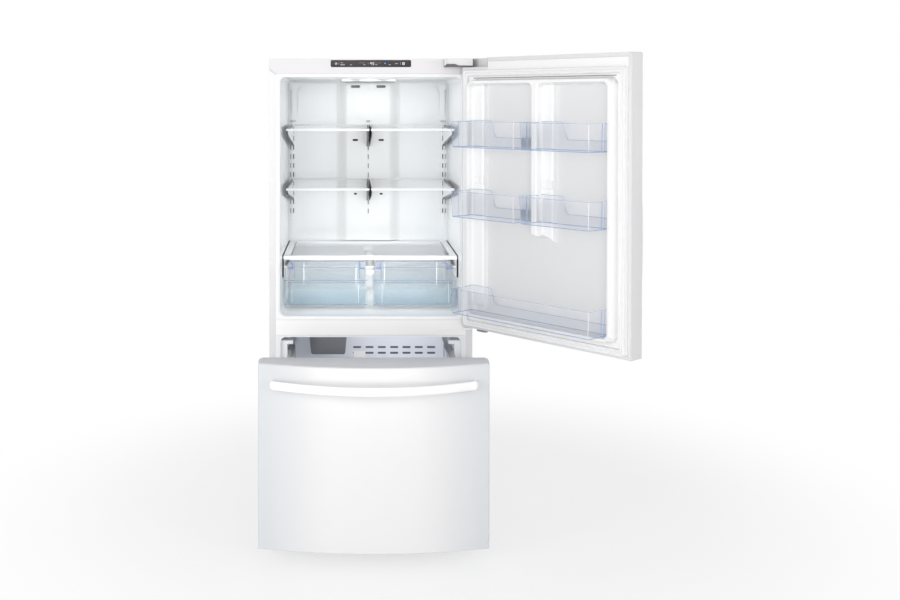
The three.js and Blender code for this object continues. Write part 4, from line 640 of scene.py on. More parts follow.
# ---------------------------------------------------------------------------------------------
# Shelves. Each is a pane of 4 mm tempered glass in a moulded white frame with a rounded front
# trim, on two pressed steel brackets that curve down to hooks in the ladders.
SHELF_TIERS = (("upper", 1389.7), ("lower", 1163.0))
SIDES = {"left": np.array([-1, 1, 1]), "right": np.array([1, 1, 1])}
SHELF_FRONT, SHELF_BACK, SHELF_THICK = 126, FRIDGE_DEPTH - 28, 16
SHELF_IN, SHELF_OUT, SHELF_RIM, SHELF_TRIM = 3, LINER_HALF - 14, 8, 14
bracket_steel_and_shadow = speckled("bracket_steel_and_shadow", "#4b4a50", "#58575d", 0.35)
pane = Finish("shelf_pane")
haze = pane.noise(30.0)
pane.shade(Base_Color=pane.blend(haze, colour("#eaf0f1"), colour("#f6f9f9")),
           Roughness=haze * 0.03 + 0.04, Alpha=haze * 0.04 + 0.1, Coat_Weight=0.3,
           Normal=pane.soft_edge(0.0008))


def bracket_edge(rear, tip=4, nose=14, drop=76):
    """y and depth below the plate's top of a bracket's lower edge. It starts at the tip, falls
    by the nose in a quarter ellipse over the first 12 % of the way, and goes on straight to the
    drop at the hook."""
    y = np.linspace(SHELF_FRONT + 16, rear, 24)
    share = (y - y[0]) / (rear - y[0])
    round_part = np.sqrt(np.clip(1 - (1 - share / 0.12).clip(0, 1) ** 2, 0, 1))
    return y, tip + nose * round_part + (drop - tip - nose) * share


def bracket(x, rear, top, thick=3):
    """Bracket plate between the pane and its lower edge."""
    y, depth = bracket_edge(rear)
    outline = np.concatenate([np.column_stack([y, top - depth]),
                              np.column_stack([y, np.full(len(y), top)])[::-1]])
    return stacked([(outline, x), (outline, x + thick)], "yz")


def bracket_flange(x, rear, top):
    """Rolled lower edge of a bracket, dark as painted shadow under the edge."""
    y, depth = bracket_edge(rear)
    return swept(np.column_stack([np.full(len(y), x), y, top - depth + 3]), 3.2, (1.5, 1), 10,
                 (1, 0, 0))


for tier, top in SHELF_TIERS:
    under = top - SHELF_THICK
    for side, mirror in SIDES.items():
        trims = [slab(SHELF_IN, SHELF_OUT, SHELF_FRONT, SHELF_FRONT + SHELF_TRIM, under + 0.5,
                      under + 9.5, 3, 2.5),
                 slab(SHELF_IN + 2, SHELF_OUT - 2, SHELF_BACK - SHELF_RIM, SHELF_BACK, top - 6,
                      top, 1, 0.8),
                 bracket(SHELF_OUT - 5.5, FRIDGE_DEPTH - 3.5, under + 4)]
        # Dark steel side rims and inner bracket; the outer bracket's dark rolled edge is painted
        # shadow.
        steel = [slab(x0, x1, SHELF_FRONT + 8, SHELF_BACK, under + 3, top - 1, 1, 0.8)
                 for x0, x1 in ((SHELF_OUT - 3, SHELF_OUT), (SHELF_IN, SHELF_IN + 2.2))]
        steel += [bracket_flange(SHELF_OUT - 3, FRIDGE_DEPTH - 4, under + 4),
                  bracket(SHELF_IN + 1, DUCT_FACE - 3.2, under)]
        mesh_piece(f"shelf_{tier}_{side}_trim", [grid * mirror for grid in trims], shelf_white,
                   "cabinet", (f"shelf_frame_{tier}_{side}",))
        mesh_piece(f"shelf_{tier}_{side}_brackets", [grid * mirror for grid in steel],
                   bracket_steel_and_shadow, "cabinet")
        dress(pane.material, f"shelf_glass_{tier}_{side}")

# ---------------------------------------------------------------------------------------------
# Crisper cover. A moulded white frame with a front trim carries a glass pane over the crispers.
# A black strip runs along each side against the liner, down to the crispers' height.
COVER_TOP, COVER_LOW, COVER_HALF = 899.6, 886.0, LINER_HALF - 4
COVER_FRONT, COVER_BACK = 122, FRIDGE_DEPTH - 12
GLASS_HALF, GLASS_FRONT, GLASS_BACK = 306, 150, 590
SKIRT_LOW, LEDGE_LOW, LEDGE_TOP, LEDGE_WIDE = 816, 856, 860, 14
dress(pane.material, "crisper_cover_glass")
cover_black = speckled("cover_black", "#1f1d20", "#29272b", 0.6)


def cover_sides(wide):
    """Ends in x of strips that wide along the two sides of the cover."""
    return [(-COVER_HALF, -COVER_HALF + wide), (COVER_HALF - wide, COVER_HALF)]


mesh_piece("crisper_cover_surround",
           [centred(0, COVER_HALF, COVER_FRONT - 0.6, COVER_FRONT + 10, COVER_LOW - 0.4,
                    COVER_TOP + 0.4, 2, 2)]
           + [centred(0, COVER_HALF, y0, y1, COVER_LOW, COVER_TOP, 2, 0.8)
              for y0, y1 in ((COVER_FRONT + 8, GLASS_FRONT - 0.3),
                             (GLASS_BACK + 0.3, COVER_BACK))]
           + [slab(x0, x1, GLASS_FRONT - 2, GLASS_BACK + 2, COVER_LOW, COVER_TOP, 2, 0.8)
              for x0, x1 in ((-COVER_HALF, -GLASS_HALF - 0.3), (GLASS_HALF + 0.3, COVER_HALF))]
           + [slab(x0, x1, COVER_FRONT + 1, COVER_BACK - 2, SKIRT_LOW, COVER_LOW + 1, 1, 0.6)
              for x0, x1 in cover_sides(3)]
           + [slab(x0, x1, COVER_FRONT + 4, COVER_BACK - 6, LEDGE_LOW, LEDGE_TOP, 1, 0.6)
              for x0, x1 in cover_sides(LEDGE_WIDE) + [(-LEDGE_WIDE, LEDGE_WIDE)]]
           + [centred(0, 13, COVER_FRONT - 1, COVER_FRONT + 16, SKIRT_LOW + 16, SKIRT_LOW + 31,
                      3, 1.5)],
           shelf_white, "cabinet", ("crisper_cover_frame",))
mesh_piece("crisper_cover_side_strips",
           pair(COVER_HALF + 1.8, 1.6, COVER_FRONT + 1, COVER_BACK, COVER_TOP - 3,
                COVER_TOP + 0.6, 1, 0.5)
           + pair(COVER_HALF + 0.6, 3, COVER_FRONT - 1.4, COVER_FRONT + 2, SKIRT_LOW + 2,
                  COVER_LOW + 1, 1, 0.5),
           cover_black, "cabinet")
mesh_piece("crisper_cover_print",
           pair(GLASS_HALF - 6, 0.9, GLASS_FRONT, GLASS_BACK - 10, COVER_TOP - 0.1,
                COVER_TOP + 0.15, 0.5, 0.05, "xy"),
           cover_black, "cabinet")

# ---------------------------------------------------------------------------------------------
# Crispers. Two bins of clear blue polystyrene hang by their rims on ledges of the cover. Each
# front has a recessed grip band, corner clips and thin white upright bars as painted highlights.
CRISPER_LOW, CRISPER_TOP, CRISPER_FRONT, CRISPER_BACK = 713, 884, 124.3, FRIDGE_DEPTH - 64
CRISPER_IN, CRISPER_OUT, PLATE_TOP = 16, LINER_HALF - 20, 807


def clear_plastic(name, low, high, alpha, roughness=0.08, fall=None):
    """Clear tinted polystyrene. Its tint deepens from high at the top of the fall to low."""
    finish = Finish(name)
    swirl = finish.noise(14.0)
    depth = swirl if fall is None else finish.axis("Z").rise(fall[0] * 0.001, fall[1] * 0.001)
    return finish.shade(
        Base_Color=finish.blend(depth, colour(low), colour(high)),
        Roughness=swirl * 0.04 + roughness,
        Alpha=swirl * 0.04 + (alpha if fall is None else (1 - depth) * 0.12 + alpha),
        Coat_Weight=0.5, Coat_Roughness=0.03, Normal=finish.soft_edge(0.001))


def cup(x0, x1, y0, y1, low, rim, wall, radius, flare=0.0):
    """Open container as one closed wall. Rows climb outside from the floor to the rim, roll over
    it and go down inside; the floor is smaller all round by the flare. rim(x, y) is the rim's
    height at each point of the outline."""
    def outline(inset, share=0.0):
        return rectangle(x0, x1, y0, y1, radius, 6, 14, inset + flare * (1 - share))

    def at(inset, share):
        loop = outline(inset, share)
        return (loop, low + (rim(loop[:, 0], loop[:, 1]) - low) * share)

    rows = [(outline(14), low), (outline(1.2), low), at(0.3, 0.008)]
    rows += [at(0.0, share) for share in (0.03, 0.2, 0.4, 0.6, 0.8, 0.97)]
    rows += [at(wall * 0.2, 0.995), at(wall * 0.5, 1.0), at(wall * 0.8, 0.995), at(wall, 0.97)]
    rows += [at(wall, share) for share in (0.8, 0.6, 0.4, 0.2)]
    rows += [(outline(wall), low + wall + 1), (outline(wall + 1.5), low + wall),
             (outline(14 + wall), low + wall)]
    return stacked(rows, "xy")


crisper_tint = clear_plastic("crisper_tint", "#c2dbe8", "#eaf3fb", 0.04, fall=(745, 815))
clip_blue = speckled("clip_blue", "#6f86c4", "#7d93cc", 0.2)
glint = clear_plastic("crisper_glint", "#f4f8fc", "#ffffff", 0.55, 0.1)
grip_tint = clear_plastic("grip_tint", "#93aec8", "#a6bdd3", 0.45, 0.1)
for side, mirror in SIDES.items():
    body = f"crisper_{side}"
    walls = [cup(CRISPER_IN, CRISPER_OUT, CRISPER_FRONT, CRISPER_BACK, CRISPER_LOW,
                 lambda x, y: np.full(x.shape, CRISPER_TOP), 2.5, 10),
             slab(CRISPER_IN - 5, LINER_HALF - 8.5, CRISPER_FRONT - 1, CRISPER_FRONT + 1,
                  CRISPER_LOW, PLATE_TOP, 4, 0.8)]
    walls += [slab(x0, x1, CRISPER_FRONT + 10, CRISPER_BACK - 10, LEDGE_TOP + 0.4,
                   LEDGE_TOP + 3.4, 1, 0.4)
              for x0, x1 in ((4.8, CRISPER_IN + 1), (CRISPER_OUT - 1, LINER_HALF - 7.8))]
    # Bands across the front: their ends in x, then in z.
    bands = [(22, 308, 878, 881.5), (22, 308, 855, 857.5), (12, 325, 805, 808),
             (18, 312, 796, 799), (12, 325, 713.5, 717), (40, 43, 812, 880), (287, 289, 812, 880)]
    clips = [(37, 41, 851, 874), (292, 296, 851, 874), (20, 42, 850, 855), (292, 314, 850, 855)]
    # Thin white upright bars on each front are painted highlights.
    lights = [(52, 55.5, 792, 872), (250, 254.5, 790, 878), (44, 46.4, 722, 792),
              (296, 298.4, 722, 800)]
    mesh_piece(f"{body}_bin", [grid * mirror for grid in walls], crisper_tint, body,
               (body,))
    for part, rows, proud, finish in (("grip", bands, 1.2, grip_tint),
                                      ("clips", clips, 2.0, clip_blue),
                                      ("lights", lights, 0.9, glint)):
        mesh_piece(f"{body}_{part}",
                   [slab(x0, x1, CRISPER_FRONT - proud, CRISPER_FRONT + 0.3, z0, z1, 0.8, 0.4)
                    * mirror for x0, x1, z0, z1 in rows], finish, body)

# ---------------------------------------------------------------------------------------------
# Lamp. A frosted cover in the fridge ceiling stands over three small lamps, which light the
# compartment while the door is open.
lamp = Finish("lamp_cover")
along = lamp.axis("X")
spots = sum(1 - abs(along - (MIDDLE[0] + x * 0.001)).rise(0.0, 0.062) for x in (-106, 5, 115))
lamp.shade(Base_Color=lamp.blend(lamp.noise(60.0), colour("#dfe2e4"), colour("#e6e9ea")),
           Roughness=0.3, Emission_Color=lamp.blend(spots, (0, 0, 0, 1), WHITE),
           Emission_Strength=0.7)
dress(lamp.material, "ceiling_lamp_cover")


def soft_lamp(name, size, power, unseen=False):
    """Rectangular lamp that faces down; unseen keeps it out of the picture and reflections."""
    light = bpy.data.lights.new(name, "AREA")
    light.shape = "RECTANGLE"
    light.size, light.size_y = size
    light.energy = power
    holder = bpy.data.objects.new(name, light)
    bpy.context.scene.collection.objects.link(holder)
    holder.visible_camera = holder.visible_glossy = not unseen
    return holder


glow = soft_lamp("fridge_lamp", (0.5, 0.3), 0.4, unseen=True)
glow.location = in_cabinet([0, 330, FRIDGE_HIGH - 12])

# ---------------------------------------------------------------------------------------------
# Freezer compartment. A drawn liner, a cover with vent slots in front of the evaporator, and a
# grey ice maker under the ceiling. The moulded rim rounds its opening.
FREEZER_LOW, FREEZER_HIGH, EVAPORATOR_Y = 84, 616, CASE_DEPTH - 145
freezer_white = liner_finish("freezer_liner_white", "#eef0f4", "#e4e8ef", EVAPORATOR_Y, 0.2)
dress(freezer_white, "freezer_liner")
dress(white_coat("evaporator_cover_white", "#e3e7ee", "#e9ecf2", 0.35), "evaporator_cover")


def rim_ring(half, low, high, radius, reach, roll):
    """Ring round an opening: rows roll from the inside face over a quarter circle to the flange,
    which ends at reach, and return behind it."""
    def grown(by, y):
        return (rectangle(-half, half, low, high, radius + by, 8, 4, -by), y)

    turn = np.linspace(0, math.pi / 2, 7)
    rows = [grown(-0.4, roll + 14)]
    rows += [grown(roll * (1 - math.cos(t)) - 0.4, roll * (1 - math.sin(t)) - 0.3) for t in turn]
    rows += [(rectangle(-FACE_HALF, FACE_HALF, *reach, 1.2, 8, 4, inset), y)
             for inset, y in ((0.3, -0.3), (0, 0.1))]
    return stacked(rows, "xz")


mesh_piece("freezer_opening_rim",
           rim_ring(LINER_HALF, FREEZER_LOW, FREEZER_HIGH, LINER_CORNER,
                    (FREEZER_LOW - 18, MULLION_LOW - 0.3), 7),
           freezer_white, "cabinet", ring=True)
vent_slot_painted_shade = speckled("vent_slot_painted_shade", "#55535c", "#605e68", 0.4)
# Dark rounded slabs on the evaporator cover are painted shade inside its vent slots.
mesh_piece("evaporator_vent_slots",
           [centred(-47 + 51.4 * k, 17, EVAPORATOR_Y - 0.5, EVAPORATOR_Y + 1, z - 4, z + 4, 3.9,
                    0.3) for k in range(7) for z in (463, 439)],
           vent_slot_painted_shade, "cabinet")


def drafted(left, right, low, high, draft, radius):
    """Outline of a box that narrows by draft to each side downwards, with round lower corners."""
    turn = np.linspace(0, np.pi / 2, 7)
    corner = np.column_stack([1 - np.cos(turn), 1 - np.sin(turn)]) * radius
    near = np.column_stack([left + draft + corner[:, 0], low + corner[:, 1]])
    far = np.column_stack([right - draft - corner[::-1, 0], low + corner[::-1, 1]])
    return np.concatenate([near, far, [(right, high), (left, high)]])


ICE_LEFT, ICE_RIGHT, ICE_LOW = 100 - LINER_HALF, 247 - LINER_HALF, 519
ICE_FRONT, ICE_BACK = 150, 420
ice_grey = Finish("ice_maker_grey")
# The ice maker's grey darkens from its top down to its foot: painted shade.
ice_painted_shade = ice_grey.axis("Z").rise(ICE_LOW * 0.001, FREEZER_HIGH * 0.001)
ice_grey.shade(Base_Color=ice_grey.blend(ice_painted_shade, colour("#7d7d84"), colour("#a3a3a9")),
               Roughness=ice_grey.noise(90.0) * 0.1 + 0.4, Normal=ice_grey.soft_edge(0.003))
mesh_piece("ice_maker_housing",
           stacked([(drafted(ICE_LEFT + d, ICE_RIGHT - d, ICE_LOW + d, FREEZER_HIGH - 0.3, 8, 9), y)
                    for d, y in ((1.5, ICE_FRONT), (0.3, ICE_FRONT + 0.6), (0, ICE_FRONT + 2),
                                 (0, ICE_BACK - 2), (1.5, ICE_BACK))], "xz"),
           ice_grey.material, "cabinet", ("ice_maker",), sharp=40)
# A dark slab on the ice maker's front is painted shade inside its slot.
mesh_piece("ice_maker_slot",
           slab(-178, -128, ICE_FRONT - 1.2, ICE_FRONT + 1, FREEZER_HIGH - 10, FREEZER_HIGH - 5,
                1.5, 0.4), slot_painted_shade, "cabinet")

# ---------------------------------------------------------------------------------------------
# Drawer slides. Three nested members of rolled zinc-plated steel on each side; the fixed ones
# are screwed to white moulded brackets on the liner.
zinc = Finish("zinc_sheet")
spangle = zinc.noise(70.0, 4.0)
zinc.shade(Base_Color=zinc.blend(spangle, colour("#aeb1b4"), colour("#c6c8ca")), Metallic=0.8,
           Roughness=spangle * 0.2 + 0.3, Normal=zinc.soft_edge(0.0006))
dress(zinc.material, "slide_outer_left", "slide_outer_right", "slide_middles", "drawer_frame")

# ---------------------------------------------------------------------------------------------
# Back and machine compartment. A zinc sheet closes the back; below it a slotted cover hides the
# compressor, the condenser with its fan, and the drain pan on the base plate.
dress(zinc.material, "back_panel", "rear_cover", "base_pan")
aluminium = Finish("fin_aluminium")
brushed = aluminium.noise(60.0, 3.0, (30, 1, 1))
aluminium.shade(Base_Color=aluminium.blend(brushed, colour("#b5b8bb"), colour("#d3d5d7")),
                Metallic=0.9, Roughness=brushed * 0.2 + 0.3)
dress(aluminium.material, "evaporator", "condenser")
for name, low, high, roughness, nodes in (
        ("black_coat", "#1b1b1d", "#242427", 0.4, ("compressor",)),
        ("pan_grey", "#74757b", "#85868b", 0.45, ("drain_pan", "evaporator_fan", "condenser_fan")),
        ("rubber_grey", "#38383b", "#434347", 0.7, ("leg_left", "leg_right", "rear_rollers"))):
    dress(speckled(name, low, high, roughness), *nodes)

# ---------------------------------------------------------------------------------------------
# Hinges. The upper arm is pressed steel with a dark coat, bolted to the cabinet, and the lower
# one is white. The door turns on a pin in each.
hinge_steel = speckled("hinge_steel", "#4c4a4a", "#5b5958", 0.35)
dress(hinge_steel, "top_hinge")
# Outline of the arm's toe from the front, in x and z.
toe = np.array([(271, 1613), (340, 1613), (334, 1617), (318, 1617.5), (305, 1623), (273, 1623)])
mesh_piece("top_hinge_cover_cheek", slab(267.5, 278, -50.5, -3.8, 1617.6, 1642.8, 2, 1),
           header_white, "cabinet")
mesh_piece("top_hinge_toe", stacked([(toe, -53.5), (toe, -49)], "xz"), hinge_steel, "cabinet")

# ---------------------------------------------------------------------------------------------
# Fridge door skin. One sheet of painted steel, bowed across its width and folded round all four
# edges. Its upper corner is notched for the hinge arm.
DOOR_GAP, DOOR_EDGE, BOW = 12, 57, 47
DOOR_HALF, DOOR_LOW, DOOR_TOP = CASE_HALF - 1, 664.2, CASE_TOP + 0.7
NOTCH_WIDE, NOTCH_TALL, NOTCH_FRONT, FOLD = 123, 34, -62.4, 14
joints = {joint["name"]: joint for joint in frame["record"]["behaviour"]["joints"]}
HINGE = np.array(joints["door_hinge"]["pos_m"])
DOOR_OPEN = math.radians(joints["door_hinge"]["range_deg"][0])
DRAWER_PULL = -joints["drawer_slide"]["range_m"][0]


def on_door(points):
    """Millimetres on the closed door to frame metres: the point turns about the hinge pins by
    the angle at which the door stands open, by the usual cosine and sine of a turn about z."""
    shut = in_cabinet(points) - HINGE
    c, s = math.cos(-DOOR_OPEN), math.sin(-DOOR_OPEN)
    turned = np.column_stack([c * shut[:, 0] - s * shut[:, 1],
                              s * shut[:, 0] + c * shut[:, 1], shut[:, 2]])
    return turned + HINGE


def on_drawer(points):
    """Millimetres on the closed drawer to frame metres: moved forward by its pull."""
    return in_cabinet(points) - [0, DRAWER_PULL, 0]


MOVES.update(door=on_door, drawer=on_drawer)


def face_y(x, half):
    """Bowed face: an arc over the width whose middle stands the bow ahead of its edges."""
    radius = (half ** 2 + BOW ** 2) / (2 * BOW)
    return -DOOR_GAP - DOOR_EDGE - BOW + radius - np.sqrt(radius ** 2 - np.asarray(x) ** 2)


def front_plan(half, inset, notch=0.0, corner=5, recess=4):
    """Plan of a bowed front, drawn in by inset: left side, rounded corner, arc, rounded corner,
    right side and the back with its recess for the inner panel. notch cuts the right rear
    corner out by that width."""
    turn = np.linspace(0, np.pi / 2, 6)
    edge = half - inset
    x = np.linspace(-edge + corner, edge - corner, 49)
    arc = np.column_stack([x, face_y(x, half) + inset])
    depth = arc[0, 1] + corner
    left = np.column_stack([-edge + corner * (1 - np.cos(turn)), depth - corner * np.sin(turn)])
    rear = -DOOR_GAP - inset
    cut = edge - notch
    side = [(edge, rear - 3), (edge, rear), (edge - 0.5, rear)]
    if notch:
        side = [(edge, NOTCH_FRONT), (cut, NOTCH_FRONT), (cut, rear)]
    inner = min(cut - 1, half - FOLD)
    return np.concatenate([[(-edge, rear)], left, arc[1:-1], left[::-1] * [-1, 1], side,
                           [(inner, rear), (inner, rear - recess), (-half + FOLD, rear - recess),
                            (-half + FOLD, rear)]])


def front_shell(half, low, top, notch=0.0, notch_tall=0.0, edge=3.0):
    """Closed skin of a bowed front: plans stacked from a rounded lower edge to a rounded upper
    one. top(y) gives the height of its upper face. The notch, that wide and notch_tall high, is
    cut out of its upper right rear corner."""
    turn = np.linspace(0, np.pi / 2, 5)
    rows = [(front_plan(half, edge * (1 - math.sin(t))), low + edge * (1 - math.cos(t)))
            for t in turn]
    if notch:
        ledge = top(0) - notch_tall
        rows += [(front_plan(half, 0), ledge), (front_plan(half, 0, notch), ledge)]
    for t in turn[::-1]:
        plan = front_plan(half, edge * (1 - math.sin(t)), notch)
        rows.append((plan, top(plan[:, 1]) - edge * (1 - math.cos(t))))
    return stacked(rows, "xy")


def returns(spans):
    """Folded returns of a skin above and below the inner panel's plate: each span is the ends in
    x and the lower edge."""
    return [slab(x0, x1, -DOOR_GAP - 4.2, -DOOR_GAP, z, z + FOLD, 0.5, 0.4) for x0, x1, z in spans]


mesh_piece("door_front_skin",
           front_shell(DOOR_HALF, DOOR_LOW, lambda y: np.full(np.shape(y), DOOR_TOP),
                       NOTCH_WIDE, NOTCH_TALL),
           case_white, "door", ("door_skin",), sharp=40)
mesh_piece("door_notch_floor",
           slab(DOOR_HALF - NOTCH_WIDE + 0.3, DOOR_HALF - 0.4, NOTCH_FRONT + 0.3, -DOOR_GAP - 0.4,
                DOOR_TOP - NOTCH_TALL - 0.6, DOOR_TOP - NOTCH_TALL + 0.6, 1, 0.5),
           case_white, "door")
mesh_piece("door_front_returns",
           returns([(-DOOR_HALF + FOLD, DOOR_HALF - FOLD, DOOR_LOW + 0.5),
                    (-DOOR_HALF + FOLD, DOOR_HALF - NOTCH_WIDE - 2, DOOR_TOP - FOLD - 0.5),
                    (DOOR_HALF - NOTCH_WIDE - 3, DOOR_HALF - FOLD,
                     DOOR_TOP - NOTCH_TALL - FOLD - 0.5)]),
           case_white, "door")
mesh_piece("door_stop", slab(279, 322, -50, -35, DOOR_LOW - 13, DOOR_LOW + 1, 3, 1.5),
           speckled("stop_grey", "#8c8b8c", "#9a999a", 0.4), "door")

# ---------------------------------------------------------------------------------------------
# Door inner panel. Formed white polystyrene: a high rounded dike runs round a sunken field, two
# pilasters and a middle rib carry the bins, and the rib ends below in a curved foot. Poured
# foam fills the room behind it, as it does in the cabinet and the drawer front.
GASKET_OUT, GASKET_LOW, GASKET_TOP = CASE_HALF - 16, DOOR_LOW + 10, DOOR_TOP - 45
DIKE_OUT, DIKE_WIDTH, DIKE_RISE = GASKET_OUT - 37, 18, 37
DIKE_LOW, DIKE_TOP = GASKET_LOW + 35, GASKET_TOP - 32
RIB_LOW, RIB_X, POST_X = DOOR_TOP - 644, -71, 247
BOSS_Z, BOSS_TALL = DOOR_TOP - 438, 30
# Each boss: middle x, middle z, width, height, rise.
door_bosses = [(x, BOSS_Z, w, h, rise) for x, w, h, rise in
               ((POST_X + 39, 9, 28, 7), (POST_X + 14, 24, BOSS_TALL, 3),
                (RIB_X + 43, 9, 28, 7), (RIB_X + 19, 24, BOSS_TALL, 3))]


def door_relief(x, z):
    """Height of the panel. Each form is a smoothstep of its distance in from an outline: up the
    dike in 7 mm, down to the field in 9 mm, and up the rib and pilasters in 8 mm. The dike is
    narrower at the hinge side."""
    half, low, high = DIKE_OUT - DIKE_WIDTH, DIKE_LOW + DIKE_WIDTH, DIKE_TOP - DIKE_WIDTH
    dike = smooth(inside(x, z, -DIKE_OUT, DIKE_OUT, DIKE_LOW, DIKE_TOP, 30) / 7)
    foot = RIB_LOW + 36 * np.sqrt(np.clip((x + 74) / 90, 0, 1))
    left = inside(x, z, -half, -12, low, high, 22)
    right = inside(x, z, 12, half + 9, low, high, 22)
    below = np.minimum(inside(x, z, -half, half + 9, low, high, 22), foot - z)
    field = smooth(np.maximum(np.maximum(left, right), below) / 9 + 0.2)
    hinge_post = smooth(inside(x, z, POST_X, 340, low + 20, high + 30, 12) / 8)
    rib_post = smooth(inside(x, z, RIB_X, 0, RIB_LOW - 60, high + 30, 12) / 8)
    rib_post *= smooth((z - foot + 6) / 14)
    raised = 23 * np.maximum(hinge_post, rib_post)
    for bx, bz, w, h, rise in door_bosses:
        raised += rise * smooth(inside(x, z, bx - w / 2, bx + w / 2, bz - h / 2, bz + h / 2, 2) / 2)
    return -DOOR_GAP + DIKE_RISE * dike + field * (raised - DIKE_RISE - 8)


def dense(start, end, step, edges, spread=11, fine=2.5):
    """Grid lines at an even step with finer ones about each edge, none closer than 0.8 mm."""
    near = [np.arange(edge - spread, edge + spread, fine) for edge in edges]
    lines = np.concatenate([np.arange(start, end, step), [start, end], *near])
    lines = np.unique(lines[(lines >= start) & (lines <= end)].round(2))
    return lines[np.concatenate([[True], np.diff(lines) > 0.8])]


door_white = white_coat("door_panel_white", "#f0f0f0", "#f5f5f5", 0.2, edge=0.001)
PANEL_HALF = DOOR_HALF - FOLD - 0.4
panel_x = dense(-PANEL_HALF, PANEL_HALF, 12,
                [-DIKE_OUT + 4, -DIKE_OUT + DIKE_WIDTH + 2, RIB_X, -14, 14, POST_X,
                 DIKE_OUT - 6, RIB_X + 43, POST_X + 39])
panel_z = dense(DOOR_LOW + 14.8, DOOR_TOP - 49.2, 12,
                [DIKE_LOW + 4, DIKE_LOW + DIKE_WIDTH + 2, RIB_LOW + 2, RIB_LOW + 20, RIB_LOW + 38,
                 DIKE_TOP - DIKE_WIDTH - 2, DIKE_TOP - 4, BOSS_Z - BOSS_TALL / 2,
                 BOSS_Z + BOSS_TALL / 2])


def door_core(x, z):
    """Surface of the foam, a little behind the panel."""
    return door_relief(x, z) - 2.2


foam = speckled("foam", "#e3d9a6", "#efe6bd", 0.85, 300.0, 0.0004, 1.0)
dress(foam, "cabinet_foam")
foam_low, foam_high = ((np.array(corner) - MIDDLE) * 1000 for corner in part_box("drawer_foam"))
mesh_piece("drawer_foam_core",
           slab(foam_low[0] + FOLD, foam_high[0] - FOLD, foam_low[1] + 56, foam_low[1] + 92,
                foam_low[2] + FOLD, foam_high[2] - 30, 4, 3),
           foam, "drawer", ("drawer_foam",), move=in_cabinet)
relief("door_foam_core", panel_x[3:-3], panel_z[3:-3], door_core, 45, foam, "door",
       ("door_foam",), back=-1)
relief("door_inner_panel", panel_x, panel_z, door_relief, 1.6, door_white, "door",
       ("door_liner",), back=-1)
mesh_piece("door_inner_upper_strip",
           slab(-PANEL_HALF, DOOR_HALF - NOTCH_WIDE - 3, -DOOR_GAP - 1.6, -DOOR_GAP,
                DOOR_TOP - 49.4, DOOR_TOP - 14.8, 1, 0.4), door_white, "door")

# ---------------------------------------------------------------------------------------------
# Gaskets. Extruded soft white vinyl with a magnet inside is pressed into a groove round each
# inner panel. Its bellows show as ridges between the panel and the skin's edge.
gasket_white = Finish("gasket_white")
stretch = gasket_white.noise(50.0)
gasket_white.shade(Base_Color=gasket_white.blend(stretch, colour("#e6e6e7"), colour("#eeeeef")),
                   Roughness=stretch * 0.1 + 0.5)


def gasket_ring(low, high):
    """Closed ring whose section runs inwards over ridges. Its face stops 0.6 mm short of the case
    front and falls back from there by a cosine ripple, 3 mm deep and two waves across."""
    across = np.linspace(0, 22, 23)
    ripple = -0.6 - 3.0 * (0.5 - 0.5 * np.cos(across / 22 * 4 * np.pi))
    ripple[[0, -1]] = -DOOR_GAP + 0.4
    heights = [(s, h) for s, h in zip(across, ripple)] + [(21.5, -DOOR_GAP + 0.3),
                                                         (0.5, -DOOR_GAP + 0.3)]
    return stacked([(rectangle(-GASKET_OUT, GASKET_OUT, low, high, 12 - s * 0.4, 6, 2, s), h)
                    for s, h in heights], "xz")


mesh_piece("door_gasket_bellows", gasket_ring(GASKET_LOW, GASKET_TOP), gasket_white.material,
           "door", ("door_gasket",), ring=True, sharp=60)
# A dark grey strip along the dike's top, in the groove between gasket and dike, is painted shadow.
mesh_piece("door_gasket_groove_shadow",
           slab(-DIKE_OUT + 8, DIKE_OUT - 6, -DOOR_GAP - 0.5, -DOOR_GAP + 1.5, DIKE_TOP + 2,
                DIKE_TOP + 5, 1, 0.4),
           line_finish("groove_painted_shadow", "#8f8f90"), "door")

# ---------------------------------------------------------------------------------------------
# Door bins. Clear polystyrene with a faint blue cast, hooked on bosses of the panel. The walls
# flare a little; the back wall stands high at the hinge end and falls in a curve.
BIN_WALL, BIN_BACK, BIN_FRONT, BIN_FLARE, BIN_TALL = 2.2, 3.3, 111, 3, 91.5
BIN_IN, BIN_OUT, BIN_HINGE = 12.5, DIKE_OUT - DIKE_WIDTH - 0.5, 309
bin_clear = clear_plastic("bin_clear", "#dbe7fb", "#edf4ff", 0.05, 0.06)
bin_rim = clear_plastic("bin_rim", "#b4c9ee", "#c6d8f5", 0.4, 0.1)
bin_edge = clear_plastic("bin_edge", "#93b2e6", "#a9c5f0", 0.6, 0.1)
bin_corner_glint = clear_plastic("bin_corner_glint", "#ffffff", "#fbfdff", 0.5, 0.1)


